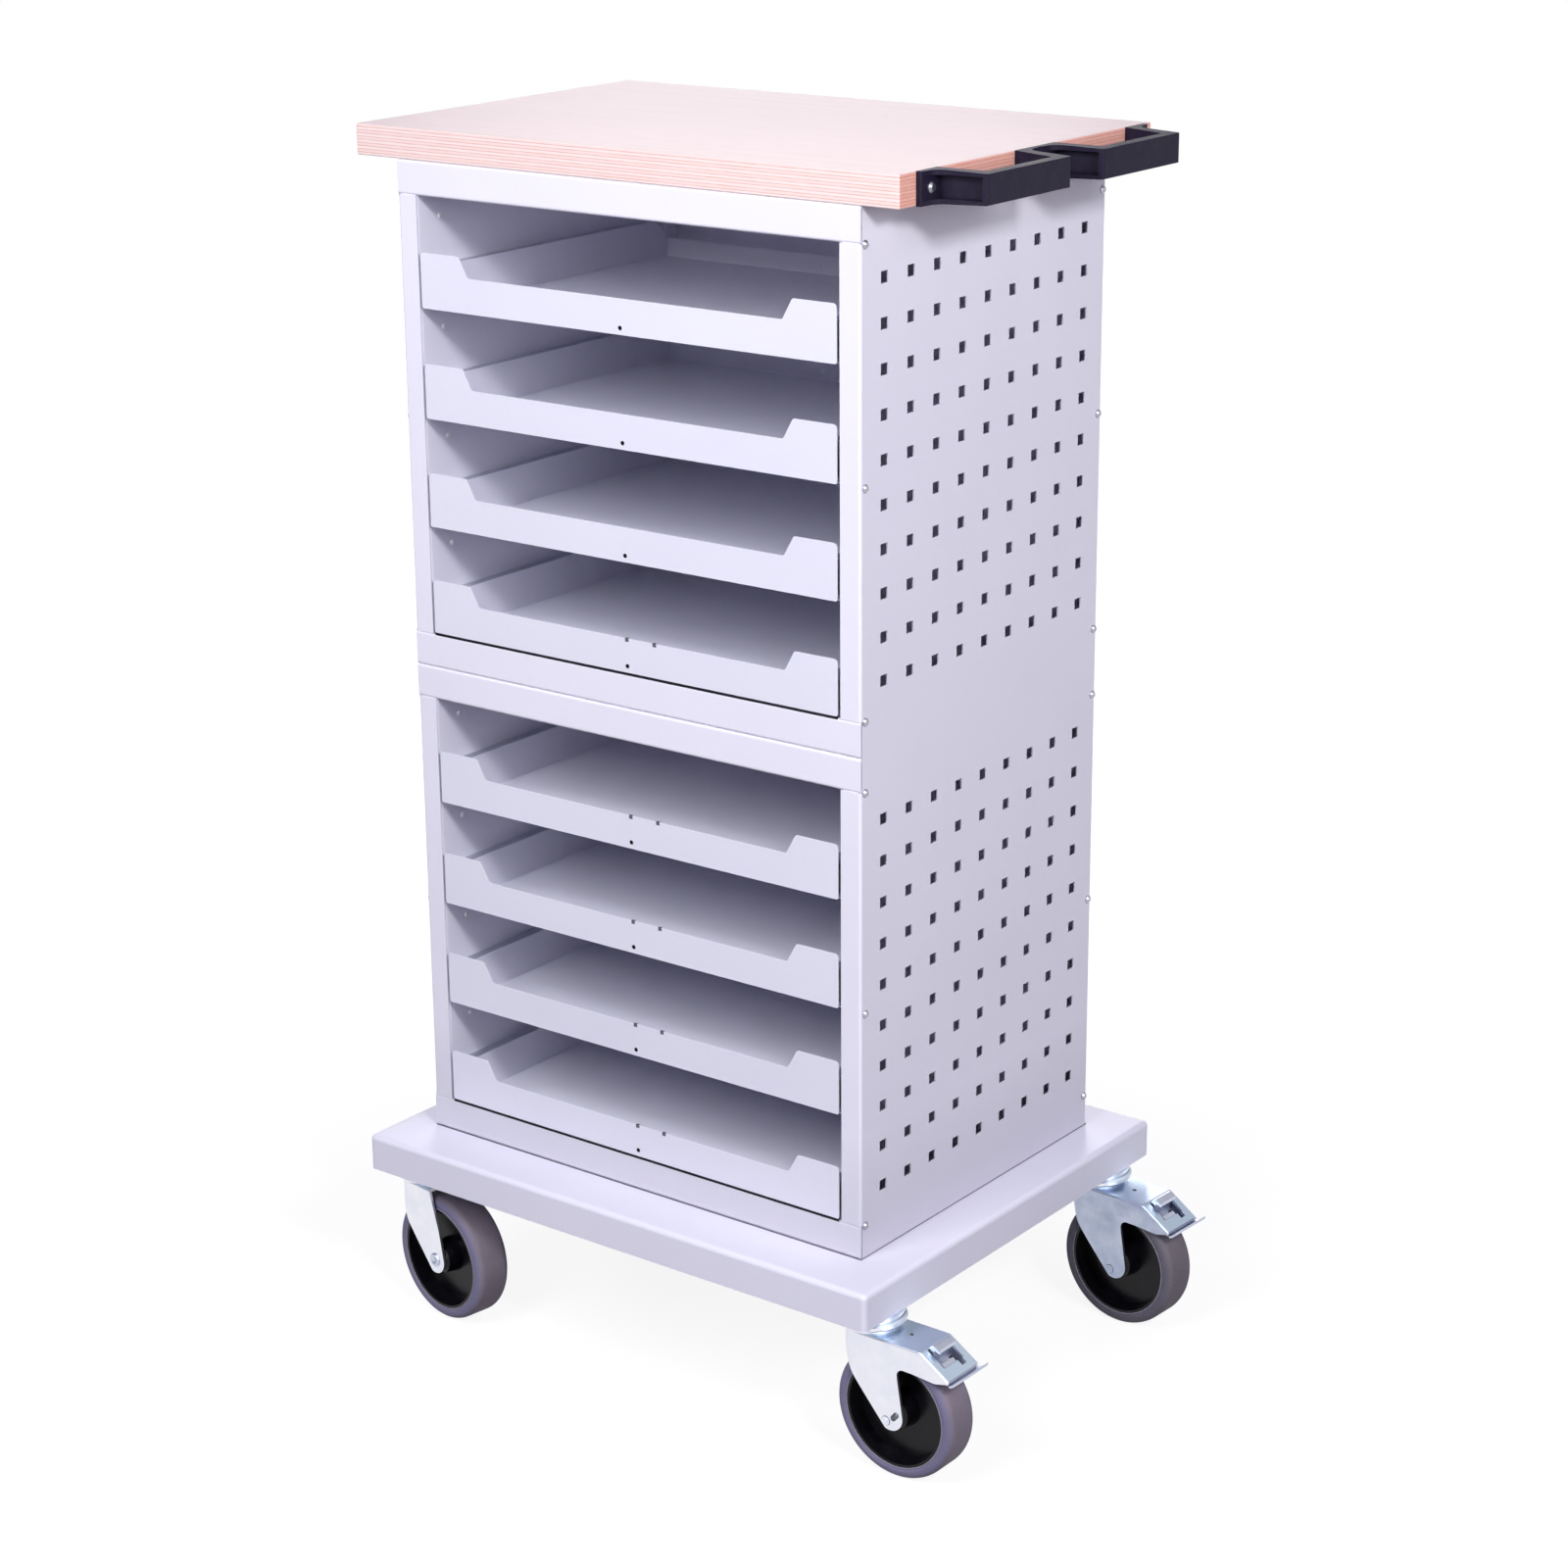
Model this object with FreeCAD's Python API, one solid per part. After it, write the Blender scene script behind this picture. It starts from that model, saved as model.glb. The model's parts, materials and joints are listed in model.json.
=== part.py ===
import FreeCAD, Part
import math
import os

# Mobile drawer cabinet: two stacked sheet steel housings with four pull-out trays each, perforated side
# panels, a plywood worktop with two bow handles on its right edge, and a folded platform on four casters.
# Millimetres. Z is up, the tray fronts face -Y, the handles are on +X, and the floor is at Z = 0.

Vector = FreeCAD.Vector

# Housing
housing_width = 506.0
housing_depth = 371.0
housing_height = 465.0
housings = ("lower", "upper")
stile_width = 21.0
top_rail_height = 31.0
bottom_rail_height = 32.0
sheet = 1.2
bend_radius = 1.5
corner_slit = 1.2
post_flange = 16.0
rail_lip = 12.0
rear_return = 15.0
edge_flange = 12.0
edge_flange_front_margin = 26.0
edge_flange_rear_margin = 48.0
flange_slack = 0.5
deck_rear_flange = 25.0

# Perforation of the side panels
hole_size = 10.0
hole_pitch = 38.0
hole_columns = 9
hole_rows = 10

# Trays
trays_per_housing = 4
tray_pitch = 100.2
first_tray_height = 33.5
tray_front_gap = 3.0
tray_front_height = 50.0
tray_depth = 337.0
tray_sheet = 1.0
tray_side_height = 37.0
tray_rear_height = 19.0
tray_bend = 2.0
tray_ramp_angle = 45.0
notch_depth = 18.5
notch_ear = 45.0
notch_slope = 10.5
front_corner_radius = 4.0
notch_corner_radius = 3.0
front_hole_diameter = 3.2
front_hole_height = 6.0
tray_rear_hole_diameter = 5.0
tray_rear_hole_spacing = 64.0

# Telescopic slides, three members on each side of a tray
slide_length = 330.0
slide_height = 36.0
slide_thickness = 12.7
slide_setback = 3.0
slide_sheet = 1.2
slide_bend = 0.8
slide_gap = 0.5
slide_web_gap = 0.6
tray_travel = 320.0

# Worktop
worktop_width = 592.0
worktop_depth = 382.0
worktop_thickness = 28.0
worktop_edge_radius = 1.5
worktop_right_overhang = 38.0
worktop_front_overhang = 0.0

# Bow handles on the worktop's right edge
handle_length = 172.5
handle_projection = 52.5
handle_height = 28.4
handle_bar_height = 25.4
handle_bar_length = 122.7
handle_bar_thickness = 10.5
handle_inner_root = 113.4
handle_inner_bar = 95.8
handle_pad_thickness = 5.0
handle_pad_reach = 20.0
handle_pad_root = 7.0
handle_pad_curve = 12.0
handle_edge = 1.0
handle_corner = 3.0
handle_recess_end = 5.0
handle_wall = 3.0
handle_spacing = 0.5
handle_front_margin = 23.0
handle_screw_inset = 13.5
handle_screw_diameter = 5.0
handle_screw_length = 30.0
handle_screw_head_diameter = 9.5
handle_screw_head_height = 3.2

# Platform under the housings
platform_width = 587.0
platform_depth = 471.0
platform_height = 35.0
platform_sheet = 1.5
platform_edge_radius = 5.0
platform_left_overhang = 36.2
platform_front_overhang = 56.5
channel_width = 46.0
channel_sheet = 2.0

# Casters
caster_height = 150.0
wheel_diameter = 125.0
wheel_width = 37.5
wheel_shoulder = 7.0
rim_radius = 51.0
rim_inner_radius = 48.5
rim_web = 5.0
rim_lip_inset = 1.0
rim_dish_taper = 3.0
hub_radius = 15.0
hub_chamfer = 3.0
hub_flare = 2.5
tyre_bulge = 0.6
tyre_seat_inset = 1.0
axle_radius = 5.0
axle_seat = 1.2
rivet_radius = 4.2
rivet_rise = 0.6
rivet_crown_radius = 1.8
rivet_crown_rise = 1.2
rivet_reach = -4.3
rivet_height = -5.5
running_clearance = 0.05
side_clearance = 0.4
caster_offset = 38.0
caster_margin_side = 28.0
caster_margin_front = 48.0
caster_turn = {"front_right": -0.5, "rear_right": -3.5, "front_left": -9.0, "rear_left": -6.0}
fork_half_width = 23.75
fork_sheet = 2.5
fork_plate_height = 72.0
fork_nose_centre = 36.0
fork_foot_radius = 13.5
fork_tail_reach = 61.5
fork_tail_height = 52.5
fork_bend_reach = 32.0
fork_fold = 2.4
fork_hole_diameter = 4.4
fork_hole_reach = 6.0
# Edges of the fork seen from the side, from the axle: reach, height and corner radius
fork_front_edge = ((-57.6, 60.0, 30.0), (-46.0, 33.5, 40.0), (-30.0, 14.0, 25.0), (-11.2, -7.8, 0.0))
fork_rear_edge = ((7.6, 38.0, 0.0), (6.6, 49.0, 6.5), (24.0, 48.6, 12.0), (47.5, 46.6, 14.0))
fork_rear_edge_plain = ((7.4, 32.0, 20.0), (-5.4, 72.0, 0.0))
fork_foot_top = 1.0
upper_race_radius = 33.0
upper_race_height = 11.5
race_flange_radius = 30.5
race_flange_height = 3.4
race_groove_height = 1.4
race_groove_radius = 29.0
race_chamfer = 2.0
lower_race_radius = 26.0
kingpin_radius = 6.0
kingpin_foot_radius = 9.0
kingpin_nut_width = 19.0
kingpin_nut_height = 8.0
kingpin_thread = 12.0
pedal_pivot_reach = 31.0
pedal_pivot_height = 62.5
pedal_pin_radius = 2.5
pedal_hub_radius = 4.2
pedal_sheet = 2.0
pedal_side_gap = 0.65
pedal_knee_reach = 38.0
pedal_knee_height = 57.0
pedal_heel_reach = 62.5
pedal_heel_height = 45.0
pedal_heel_bend = 9.0
pedal_tip_reach = 75.8
pedal_tip_height = 57.0
lip_half_width = 23.6
lip_start = 59.8
lip_corner = 9.0
# Section of the hooked tab that stands up through the window, from the axle: reach, height, corner radius
tab_section = ((34.2, 58.5, 0.0), (34.2, 73.0, 3.0), (37.8, 76.4, 2.5), (44.4, 72.8, 0.6), (45.9, 69.6, 0.6),
               (39.6, 71.6, 1.5), (37.9, 69.5, 1.0), (37.9, 58.5, 0.0))
tab_half_width = 12.6
# Section of the brake shoe with the tongue above it that fills the lower part of the window
shoe_section = ((46.0, 47.5, 0.0), (46.0, 61.2, 0.6), (50.4, 58.2, 0.6), (50.4, 47.5, 0.0))
shoe_left = -12.2
shoe_right = 5.2
window_half_width = 14.6
window_start = 33.4
window_end = 51.6
window_slot_end = 56.5
window_slot_left = 5.7
window_slot_right = 12.5
pedal_travel_deg = 9.0

# Fasteners
screw_diameter = 4.0
screw_length = 10.0
screw_head_diameter = 7.6
screw_head_height = 2.6
screw_crown = 0.6
screw_rim = 0.4
screw_inset = 6.0
screw_rows = 3
screw_end_margin = 31.5
bolt_diameter = 6.0
bolt_head_width = 10.0
bolt_head_height = 4.0
bolt_end = 8.0
bolt_spacing_x = 360.0
bolt_spacing_y = 240.0
worktop_screw_depth = 16.0
hole_play = 0.05
plug_diameter = 5.0
plug_stem = 3.4
plug_height = 1.0
plug_setback = 30.5
plug_rise = 28.7
back_screw_spacing = 200.0


# Levels and planes that several pieces share
platform_bottom = caster_height
platform_top = platform_bottom + platform_height
housing_base = {name: platform_top + index * housing_height for index, name in enumerate(housings)}
worktop_bottom = platform_top + len(housings) * housing_height
worktop_top = worktop_bottom + worktop_thickness
side_face = housing_width / 2
front_face = -housing_depth / 2
rear_face = housing_depth / 2
skin_inside = side_face - sheet
wall_face = side_face - stile_width
post_front = front_face + sheet
post_rear = rear_face - sheet
tray_side_face = wall_face - slide_thickness
tray_front_half = wall_face - tray_front_gap
tray_rear_face = front_face + tray_depth
worktop_right = side_face + worktop_right_overhang
worktop_left = worktop_right - worktop_width
worktop_front = front_face - worktop_front_overhang
worktop_rear = worktop_front + worktop_depth
platform_left = -side_face - platform_left_overhang
platform_right = platform_left + platform_width
platform_front = front_face - platform_front_overhang
platform_rear = platform_front + platform_depth
wheel_radius = wheel_diameter / 2


# Drawing helpers
def box(x0, x1, y0, y1, z0, z1):
    """A block between two values on each axis."""
    return Part.makeBox(x1 - x0, y1 - y0, z1 - z0, Vector(x0, y0, z0))


def rod(radius, start, direction, length):
    """A round bar from a start point."""
    return Part.makeCylinder(radius, length, start, direction)


def turn_point(previous, corner, following, radius):
    """The two tangent points and the middle of the arc that rounds one corner of an outline."""
    toward_previous = (previous - corner).normalize()
    toward_following = (following - corner).normalize()
    opening = math.acos(max(-1.0, min(1.0, toward_previous.dot(toward_following))))
    reach = radius / math.tan(opening / 2)
    middle = (toward_previous + toward_following).normalize()
    centre = corner + middle * (radius / math.sin(opening / 2))
    return corner + toward_previous * reach, centre - middle * radius, corner + toward_following * reach


def outline(points, plane):
    """A closed wire through (u, v, corner radius) points in the XY, XZ or YZ plane."""
    place = {"XY": (Vector(1, 0, 0), Vector(0, 1, 0)), "XZ": (Vector(1, 0, 0), Vector(0, 0, 1)),
             "YZ": (Vector(0, 1, 0), Vector(0, 0, 1))}[plane]
    corners = [place[0] * u + place[1] * v for u, v, radius in points]
    pieces = []
    for index, (u, v, radius) in enumerate(points):
        corner = corners[index]
        if radius > 0:
            following = corners[(index + 1) % len(points)]
            pieces.append(turn_point(corners[index - 1], corner, following, radius))
        else:
            pieces.append((corner, None, corner))
    edges = []
    for index, (start, middle, end) in enumerate(pieces):
        if middle is not None:
            edges.append(Part.Arc(start, middle, end).toShape())
        next_start = pieces[(index + 1) % len(pieces)][0]
        if end.distanceToPoint(next_start) > 1e-6:
            edges.append(Part.makeLine(end, next_start))
    return Part.Wire(edges)


def plate(points, plane, low, high):
    """An outline drawn in one plane and thickened between two values on the remaining axis."""
    axis = {"XY": Vector(0, 0, 1), "XZ": Vector(0, 1, 0), "YZ": Vector(1, 0, 0)}[plane]
    face = Part.Face(outline(points, plane))
    face.translate(axis * low)
    return face.extrude(axis * (high - low))


def sheet_section(path, thickness, bend):
    """The outline of a bent sheet: path is one face of it, and the metal lies to the left of the path."""
    line = [Vector(u, v, 0) for u, v in path]
    directions = [(line[i + 1] - line[i]).normalize() for i in range(len(line) - 1)]
    normals = [Vector(-d.y, d.x, 0) for d in directions]
    near = [(path[0][0], path[0][1], 0)]
    start = line[0] + normals[0] * thickness
    far = [(start.x, start.y, 0)]
    for index in range(1, len(line) - 1):
        before, after = normals[index - 1], normals[index]
        shifted = line[index] + (before + after) * (thickness / (1 + before.dot(after)))
        turns_left = directions[index - 1].cross(directions[index]).z > 0
        near_radius = bend + thickness if turns_left else bend
        far_radius = bend if turns_left else bend + thickness
        near.append((line[index].x, line[index].y, near_radius))
        far.append((shifted.x, shifted.y, far_radius))
    near.append((path[-1][0], path[-1][1], 0))
    end = line[-1] + normals[-1] * thickness
    far.append((end.x, end.y, 0))
    return near + far[::-1]


def bent_sheet(path, thickness, bend, plane, low, high):
    """A folded sheet with the same section from low to high."""
    return plate(sheet_section(path, thickness, bend), plane, low, high)


def mirrored(shape):
    """The same piece on the other side of the cabinet."""
    return shape.mirror(Vector(0, 0, 0), Vector(1, 0, 0))


def both_sides(shapes):
    """Pieces of the right side together with their mirror images."""
    return list(shapes) + [mirrored(shape) for shape in shapes]


def hexagon(width, low, high, centre_x, centre_y):
    """A six-sided head or nut, as wide as given across its flats."""
    radius = width / math.sqrt(3)
    corners = [(centre_x + radius * math.cos(math.radians(60 * step)),
                centre_y + radius * math.sin(math.radians(60 * step)), 0) for step in range(6)]
    return plate(corners, "XY", low, high)


def cut_all(shape, tools):
    """The shape less all the tools at once."""
    return shape.cut(Part.makeCompound(list(tools))) if tools else shape


# Places that repeat
def tray_levels(base):
    """The height of each tray's underside in one housing, from the bottom up."""
    return [base + first_tray_height + index * tray_pitch for index in range(trays_per_housing)]


def screw_places(base):
    """Where the screws of one side panel sit, as (y, z)."""
    step = (housing_height - 2 * screw_end_margin) / (screw_rows - 1)
    heights = [base + screw_end_margin + index * step for index in range(screw_rows)]
    return [(y, z) for y in (front_face + screw_inset, rear_face - screw_inset) for z in heights]


def bolt_places():
    """Where the bolts stand that join platform, housings and worktop, as (x, y)."""
    reach_x, reach_y = bolt_spacing_x / 2, bolt_spacing_y / 2
    return [(x, y) for x in (-reach_x, reach_x) for y in (-reach_y, reach_y)]


def bolt_holes(low, high):
    """Clearance holes for the joining bolts between two heights."""
    radius = bolt_diameter / 2 + hole_play
    return [rod(radius, Vector(x, y, low), Vector(0, 0, 1), high - low) for x, y in bolt_places()]


def plug_places(base):
    """Where the wall plugs sit, as (y, z)."""
    above = tray_front_height + plug_rise
    return [(front_face + plug_setback, level + above) for level in tray_levels(base)]


# Housing pieces
def side_panel(base):
    """The right outer skin: perforated web, front stile, rear return, and a flange along top and bottom."""
    top = base + housing_height
    opening_low = base + bottom_rail_height
    opening_high = top - top_rail_height
    path = [(wall_face, front_face), (side_face, front_face), (side_face, rear_face),
            (side_face - rear_return, rear_face)]
    skin = bent_sheet(path, sheet, bend_radius, "XY", base, top)
    behind_rail = front_face + sheet + corner_slit
    corner_cuts = [box(wall_face - sheet, side_face + sheet, front_face - sheet, behind_rail, low, high)
                   for low, high in ((base - sheet, opening_low), (opening_high, top + sheet))]
    flange_front = front_face + edge_flange_front_margin
    flange_rear = rear_face - edge_flange_rear_margin
    flanges = [box(side_face - edge_flange, skin_inside, flange_front, flange_rear, low, low + sheet)
               for low in (base, top - sheet)]
    skin = skin.cut(Part.makeCompound(corner_cuts)).fuse(flanges)
    first_y = front_face + (housing_depth - (hole_columns - 1) * hole_pitch) / 2
    first_z = base + (housing_height - (hole_rows - 1) * hole_pitch) / 2
    half = hole_size / 2
    holes = []
    for column in range(hole_columns):
        for row in range(hole_rows):
            y = first_y + column * hole_pitch
            z = first_z + row * hole_pitch
            holes.append(box(skin_inside - sheet, side_face + sheet, y - half, y + half, z - half, z + half))
    screw_radius = screw_diameter / 2 + hole_play
    for y, z in screw_places(base):
        holes.append(rod(screw_radius, Vector(skin_inside - sheet, y, z), Vector(1, 0, 0), 3 * sheet))
    return cut_all(skin, holes).removeSplitter()


def inner_wall(base):
    """The right inner wall with its front and rear posts, which the skin is screwed to."""
    low = base + sheet
    high = base + housing_height - sheet
    path = [(skin_inside, post_front + post_flange), (skin_inside, post_front), (wall_face, post_front),
            (wall_face, post_rear), (skin_inside, post_rear), (skin_inside, post_rear - post_flange)]
    wall = bent_sheet(path[::-1], sheet, bend_radius, "XY", low, high)
    holes = []
    screw_radius = screw_diameter / 2 + hole_play
    for y, z in screw_places(base):
        holes.append(rod(screw_radius, Vector(skin_inside - 2 * sheet, y, z), Vector(1, 0, 0), 3 * sheet))
    stem_radius = plug_stem / 2 + hole_play
    for y, z in plug_places(base):
        holes.append(rod(stem_radius, Vector(wall_face - sheet, y, z), Vector(1, 0, 0), 3 * sheet))
    return cut_all(wall, holes)


def deck(base, at_top):
    """A top or bottom deck: a flat sheet with the front rail and a rear flange turned inwards."""
    rail = top_rail_height if at_top else bottom_rail_height
    outer = base + housing_height if at_top else base
    inward = -1 if at_top else 1
    lip_end = front_face + rail_lip
    path = [(lip_end, outer + inward * rail), (front_face, outer + inward * rail), (front_face, outer),
            (post_rear, outer), (post_rear, outer + inward * deck_rear_flange)]
    section = path[::-1] if at_top else path
    body = bent_sheet(section, sheet, bend_radius, "YZ", -side_face, side_face)
    low, high = base - sheet, base + housing_height + sheet
    rail_low, rail_high = sorted((outer + inward * sheet, outer + inward * 2 * rail))
    between_walls = wall_face - flange_slack
    under_skin = skin_inside - flange_slack
    past_side = side_face + sheet
    bend_room = sheet + bend_radius
    room_front = front_face + edge_flange_front_margin - flange_slack
    room_rear = rear_face - edge_flange_rear_margin + flange_slack
    cuts = [box(between_walls, past_side, post_front, lip_end + sheet, rail_low, rail_high),
            box(between_walls, past_side, post_rear - bend_room, rear_face, low, high),
            box(under_skin, past_side, post_front, rear_face, low, high),
            box(side_face - edge_flange - flange_slack, past_side, room_front, room_rear, low, high)]
    screw_radius = screw_diameter / 2 + hole_play
    for x, z in back_screw_places(base):
        cuts.append(rod(screw_radius, Vector(x, rear_face, z), Vector(0, -1, 0), 3 * sheet))
    return cut_all(body, both_sides(cuts) + bolt_holes(low, high))


def back_screw_places(base):
    """Where the screws of one back panel sit, as (x, z); the left half mirrors the right."""
    heights = (base + deck_rear_flange / 2, base + housing_height - deck_rear_flange / 2)
    return [(x, z) for x in (0, back_screw_spacing) for z in heights]


def back_panel(base):
    """The flat rear sheet between the returns of the two skins."""
    half = side_face - rear_return - flange_slack
    panel = box(-half, half, post_rear, rear_face, base, base + housing_height)
    radius = screw_diameter / 2 + hole_play
    holes = [rod(radius, Vector(x, rear_face + sheet, z), Vector(0, -1, 0), 3 * sheet)
             for x, z in back_screw_places(base)]
    return cut_all(panel, both_sides(holes))


def pan_screw(head_face, direction, diameter, length, head_diameter, head_height):
    """A screw with a rounded-off head, its head's underside at head_face and its shank along direction."""
    radius = head_diameter / 2
    corners = [Vector(0, 0, -head_height), Vector(radius * screw_crown, 0, -head_height),
               Vector(radius, 0, -head_height * screw_rim), Vector(radius, 0, 0), Vector(diameter / 2, 0, 0),
               Vector(diameter / 2, 0, length), Vector(0, 0, length)]
    edges = [Part.makeLine(start, end) for start, end in zip(corners, corners[1:] + corners[:1])]
    screw = Part.Face(Part.Wire(edges)).revolve(Vector(0, 0, 0), Vector(0, 0, 1), 360)
    screw.Placement = FreeCAD.Placement(head_face, FreeCAD.Rotation(Vector(0, 0, 1), direction))
    return screw


def panel_screws():
    """All the pan-head screws of the side and back panels."""
    right, rear = [], []
    for base in housing_base.values():
        for y, z in screw_places(base):
            right.append(pan_screw(Vector(side_face, y, z), Vector(-1, 0, 0), screw_diameter, screw_length,
                                   screw_head_diameter, screw_head_height))
        for x, z in back_screw_places(base):
            screw = pan_screw(Vector(x, rear_face, z), Vector(0, -1, 0), screw_diameter, screw_length,
                              screw_head_diameter, screw_head_height)
            rear += [screw, mirrored(screw)] if x else [screw]
    return both_sides(right) + rear


def wall_plugs():
    """The small white plugs in the inner walls, one above the front of each tray on both sides."""
    plugs = []
    for base in housing_base.values():
        for y, z in plug_places(base):
            seat = Vector(wall_face, y, z)
            plugs.append(pan_screw(seat, Vector(1, 0, 0), plug_stem, 2 * sheet, plug_diameter, plug_height))
    return both_sides(plugs)


# Slides
slide_flange_end = wall_face - (slide_thickness - slide_sheet - slide_gap)
middle_web_face = wall_face - slide_sheet - slide_web_gap
inner_flange_end = middle_web_face - slide_sheet - slide_web_gap
outer_half = slide_height / 2
middle_half = outer_half - slide_sheet - slide_gap
inner_half = middle_half - slide_sheet - slide_gap
slide_front = front_face + slide_setback
slide_rear = slide_front + slide_length


def rail(web_face, flange_end, half_height, level):
    """One channel-shaped member of the right slide at a tray's level."""
    centre = level + tray_side_height / 2
    low, high = centre - half_height, centre + half_height
    path = [(flange_end, low), (web_face, low), (web_face, high), (flange_end, high)]
    if flange_end > web_face:
        path.reverse()
    return bent_sheet(path, slide_sheet, slide_bend, "XZ", slide_front, slide_rear)


# Trays
def tray(level):
    """A folded tray: floor, two sides, a low rear wall, and a front with raised ears."""
    outer = box(-tray_side_face, tray_side_face, front_face, tray_rear_face, level, level + tray_side_height)
    inner = box(-tray_side_face + tray_sheet, tray_side_face - tray_sheet, front_face - tray_sheet,
                tray_rear_face - tray_sheet, level + tray_sheet, level + 2 * tray_side_height)
    body = rounded_pan(outer, tray_bend, level, tray_rear_face)
    inner_bend = tray_bend - tray_sheet
    body = body.cut(rounded_pan(inner, inner_bend, level + tray_sheet, tray_rear_face - tray_sheet))
    ramp = (tray_side_height - tray_rear_height) / math.tan(math.radians(tray_ramp_angle))
    above = level + tray_side_height + tray_sheet
    behind = tray_rear_face + tray_sheet
    slope = [(tray_rear_face - ramp - tray_sheet, above, 0), (tray_rear_face, level + tray_rear_height, 0),
             (behind, level + tray_rear_height, 0), (behind, above, 0)]
    body = body.cut(plate(slope, "YZ", -tray_side_face, tray_side_face))
    rear_low = box(-tray_side_face, tray_side_face, tray_rear_face - tray_sheet - tray_bend, behind,
                   level + tray_rear_height, above)
    body = body.cut(rear_low)
    half = tray_front_half
    top = level + tray_front_height
    middle = top - notch_depth
    ear = half - notch_ear
    bottom = ear - notch_slope
    right = [(half, level, front_corner_radius / 2), (half, top, front_corner_radius),
             (ear, top, notch_corner_radius), (bottom, middle, notch_corner_radius)]
    left = [(-x, z, radius) for x, z, radius in right[::-1]]
    front = plate(right + left, "XZ", front_face, front_face + tray_sheet)
    body = body.fuse(front)
    reach = Vector(0, 1, 0)
    front_hole = Vector(0, front_face - tray_sheet, level + front_hole_height)
    holes = [rod(front_hole_diameter / 2, front_hole, reach, 3 * tray_sheet)]
    for x in (-tray_rear_hole_spacing / 2, tray_rear_hole_spacing / 2):
        start = Vector(x, tray_rear_face - 2 * tray_sheet, level + tray_rear_height / 2)
        holes.append(rod(tray_rear_hole_diameter / 2, start, reach, 3 * tray_sheet))
    return cut_all(body, holes)


def rounded_pan(block, radius, floor, rear):
    """A block with its floor's side and rear edges and its rear uprights rounded."""
    edges = []
    for edge in block.Edges:
        middle = edge.CenterOfMass
        along = edge.Vertexes[1].Point - edge.Vertexes[0].Point
        on_floor = abs(middle.z - floor) < 1e-6 and abs(along.y) > 1e-6
        rear_floor = abs(middle.z - floor) < 1e-6 and abs(middle.y - rear) < 1e-6
        rear_upright = abs(along.z) > 1e-6 and abs(middle.y - rear) < 1e-6
        if on_floor or rear_floor or rear_upright:
            edges.append(edge)
    return block.makeFillet(radius, edges)


# Worktop and handles
handle_centre_height = worktop_bottom + worktop_thickness / 2
handle_half = handle_length / 2
handle_centres = [worktop_front + handle_front_margin + handle_half + index * (handle_length + handle_spacing)
                  for index in range(2)]


def handle_screw_places():
    """The heights along Y of the handle screws."""
    inset = handle_half - handle_screw_inset
    return [centre + side * inset for centre in handle_centres for side in (-1, 1)]


def worktop():
    """The plywood board with its edges eased, drilled for the bolts below and the handle screws."""
    board = box(worktop_left, worktop_right, worktop_front, worktop_rear, worktop_bottom, worktop_top)
    board = board.makeFillet(worktop_edge_radius, board.Edges)
    holes = bolt_holes(worktop_bottom - sheet, worktop_bottom + worktop_screw_depth)
    radius = handle_screw_diameter / 2 + hole_play
    for y in handle_screw_places():
        start = Vector(worktop_right + sheet, y, handle_centre_height)
        holes.append(rod(radius, start, Vector(-1, 0, 0), handle_screw_length))
    return cut_all(board, holes)


def handle(centre):
    """A moulded bow handle: tapering legs hollowed from outside, a flat bar, and a screw pad at each end."""
    half_bar = handle_bar_length / 2
    right = [(0, handle_half, 0), (handle_pad_thickness, handle_half, handle_pad_thickness / 3),
             (handle_pad_root, handle_half - handle_pad_reach, handle_pad_curve),
             (handle_projection, half_bar, handle_corner)]
    plan = [(x, -y, radius) for x, y, radius in right] + right[::-1]
    body = plate(plan, "XY", -handle_height / 2, handle_height / 2)
    inner_end = handle_projection - handle_bar_thickness
    gap = [(-1, -handle_inner_root / 2, 0), (inner_end, -handle_inner_bar / 2, handle_corner),
           (inner_end, handle_inner_bar / 2, handle_corner), (-1, handle_inner_root / 2, 0)]
    body = body.cut(plate(gap, "XY", -handle_height, handle_height))
    taper = [(0, -handle_height / 2, 0), (handle_projection, -handle_bar_height / 2, handle_edge),
             (handle_projection, handle_bar_height / 2, handle_edge), (0, handle_height / 2, 0)]
    body = body.common(plate(taper, "XZ", -handle_half, handle_half))
    recess_height = handle_bar_height / 2 - handle_wall
    recess_end = handle_projection - handle_recess_end
    for side in (-1, 1):
        corners = [(handle_pad_thickness, side * (handle_inner_root / 2 + handle_wall), 0),
                   (recess_end, side * (handle_inner_bar / 2 + handle_wall), handle_corner / 2),
                   (recess_end, side * handle_length, 0), (handle_pad_thickness, side * handle_length, 0)]
        body = body.cut(plate(corners, "XY", -recess_height, recess_height))
    radius = handle_screw_diameter / 2 + hole_play
    for y in (handle_half - handle_screw_inset, handle_screw_inset - handle_half):
        body = body.cut(rod(radius, Vector(-1, y, 0), Vector(1, 0, 0), handle_height))
    body.translate(Vector(worktop_right, centre, handle_centre_height))
    return body


def handle_screws():
    """The four screws that hold the handles to the board's edge."""
    face = worktop_right + handle_pad_thickness
    return [pan_screw(Vector(face, y, handle_centre_height), Vector(-1, 0, 0), handle_screw_diameter,
                      handle_screw_length, handle_screw_head_diameter, handle_screw_head_height)
            for y in handle_screw_places()]


# Platform
caster_places = {
    "front_right": (platform_right - caster_margin_side, platform_front + caster_margin_front),
    "rear_right": (platform_right - caster_margin_side, platform_rear - caster_margin_front),
    "front_left": (platform_left + caster_margin_side, platform_front + caster_margin_front),
    "rear_left": (platform_left + caster_margin_side, platform_rear - caster_margin_front),
}


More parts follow.
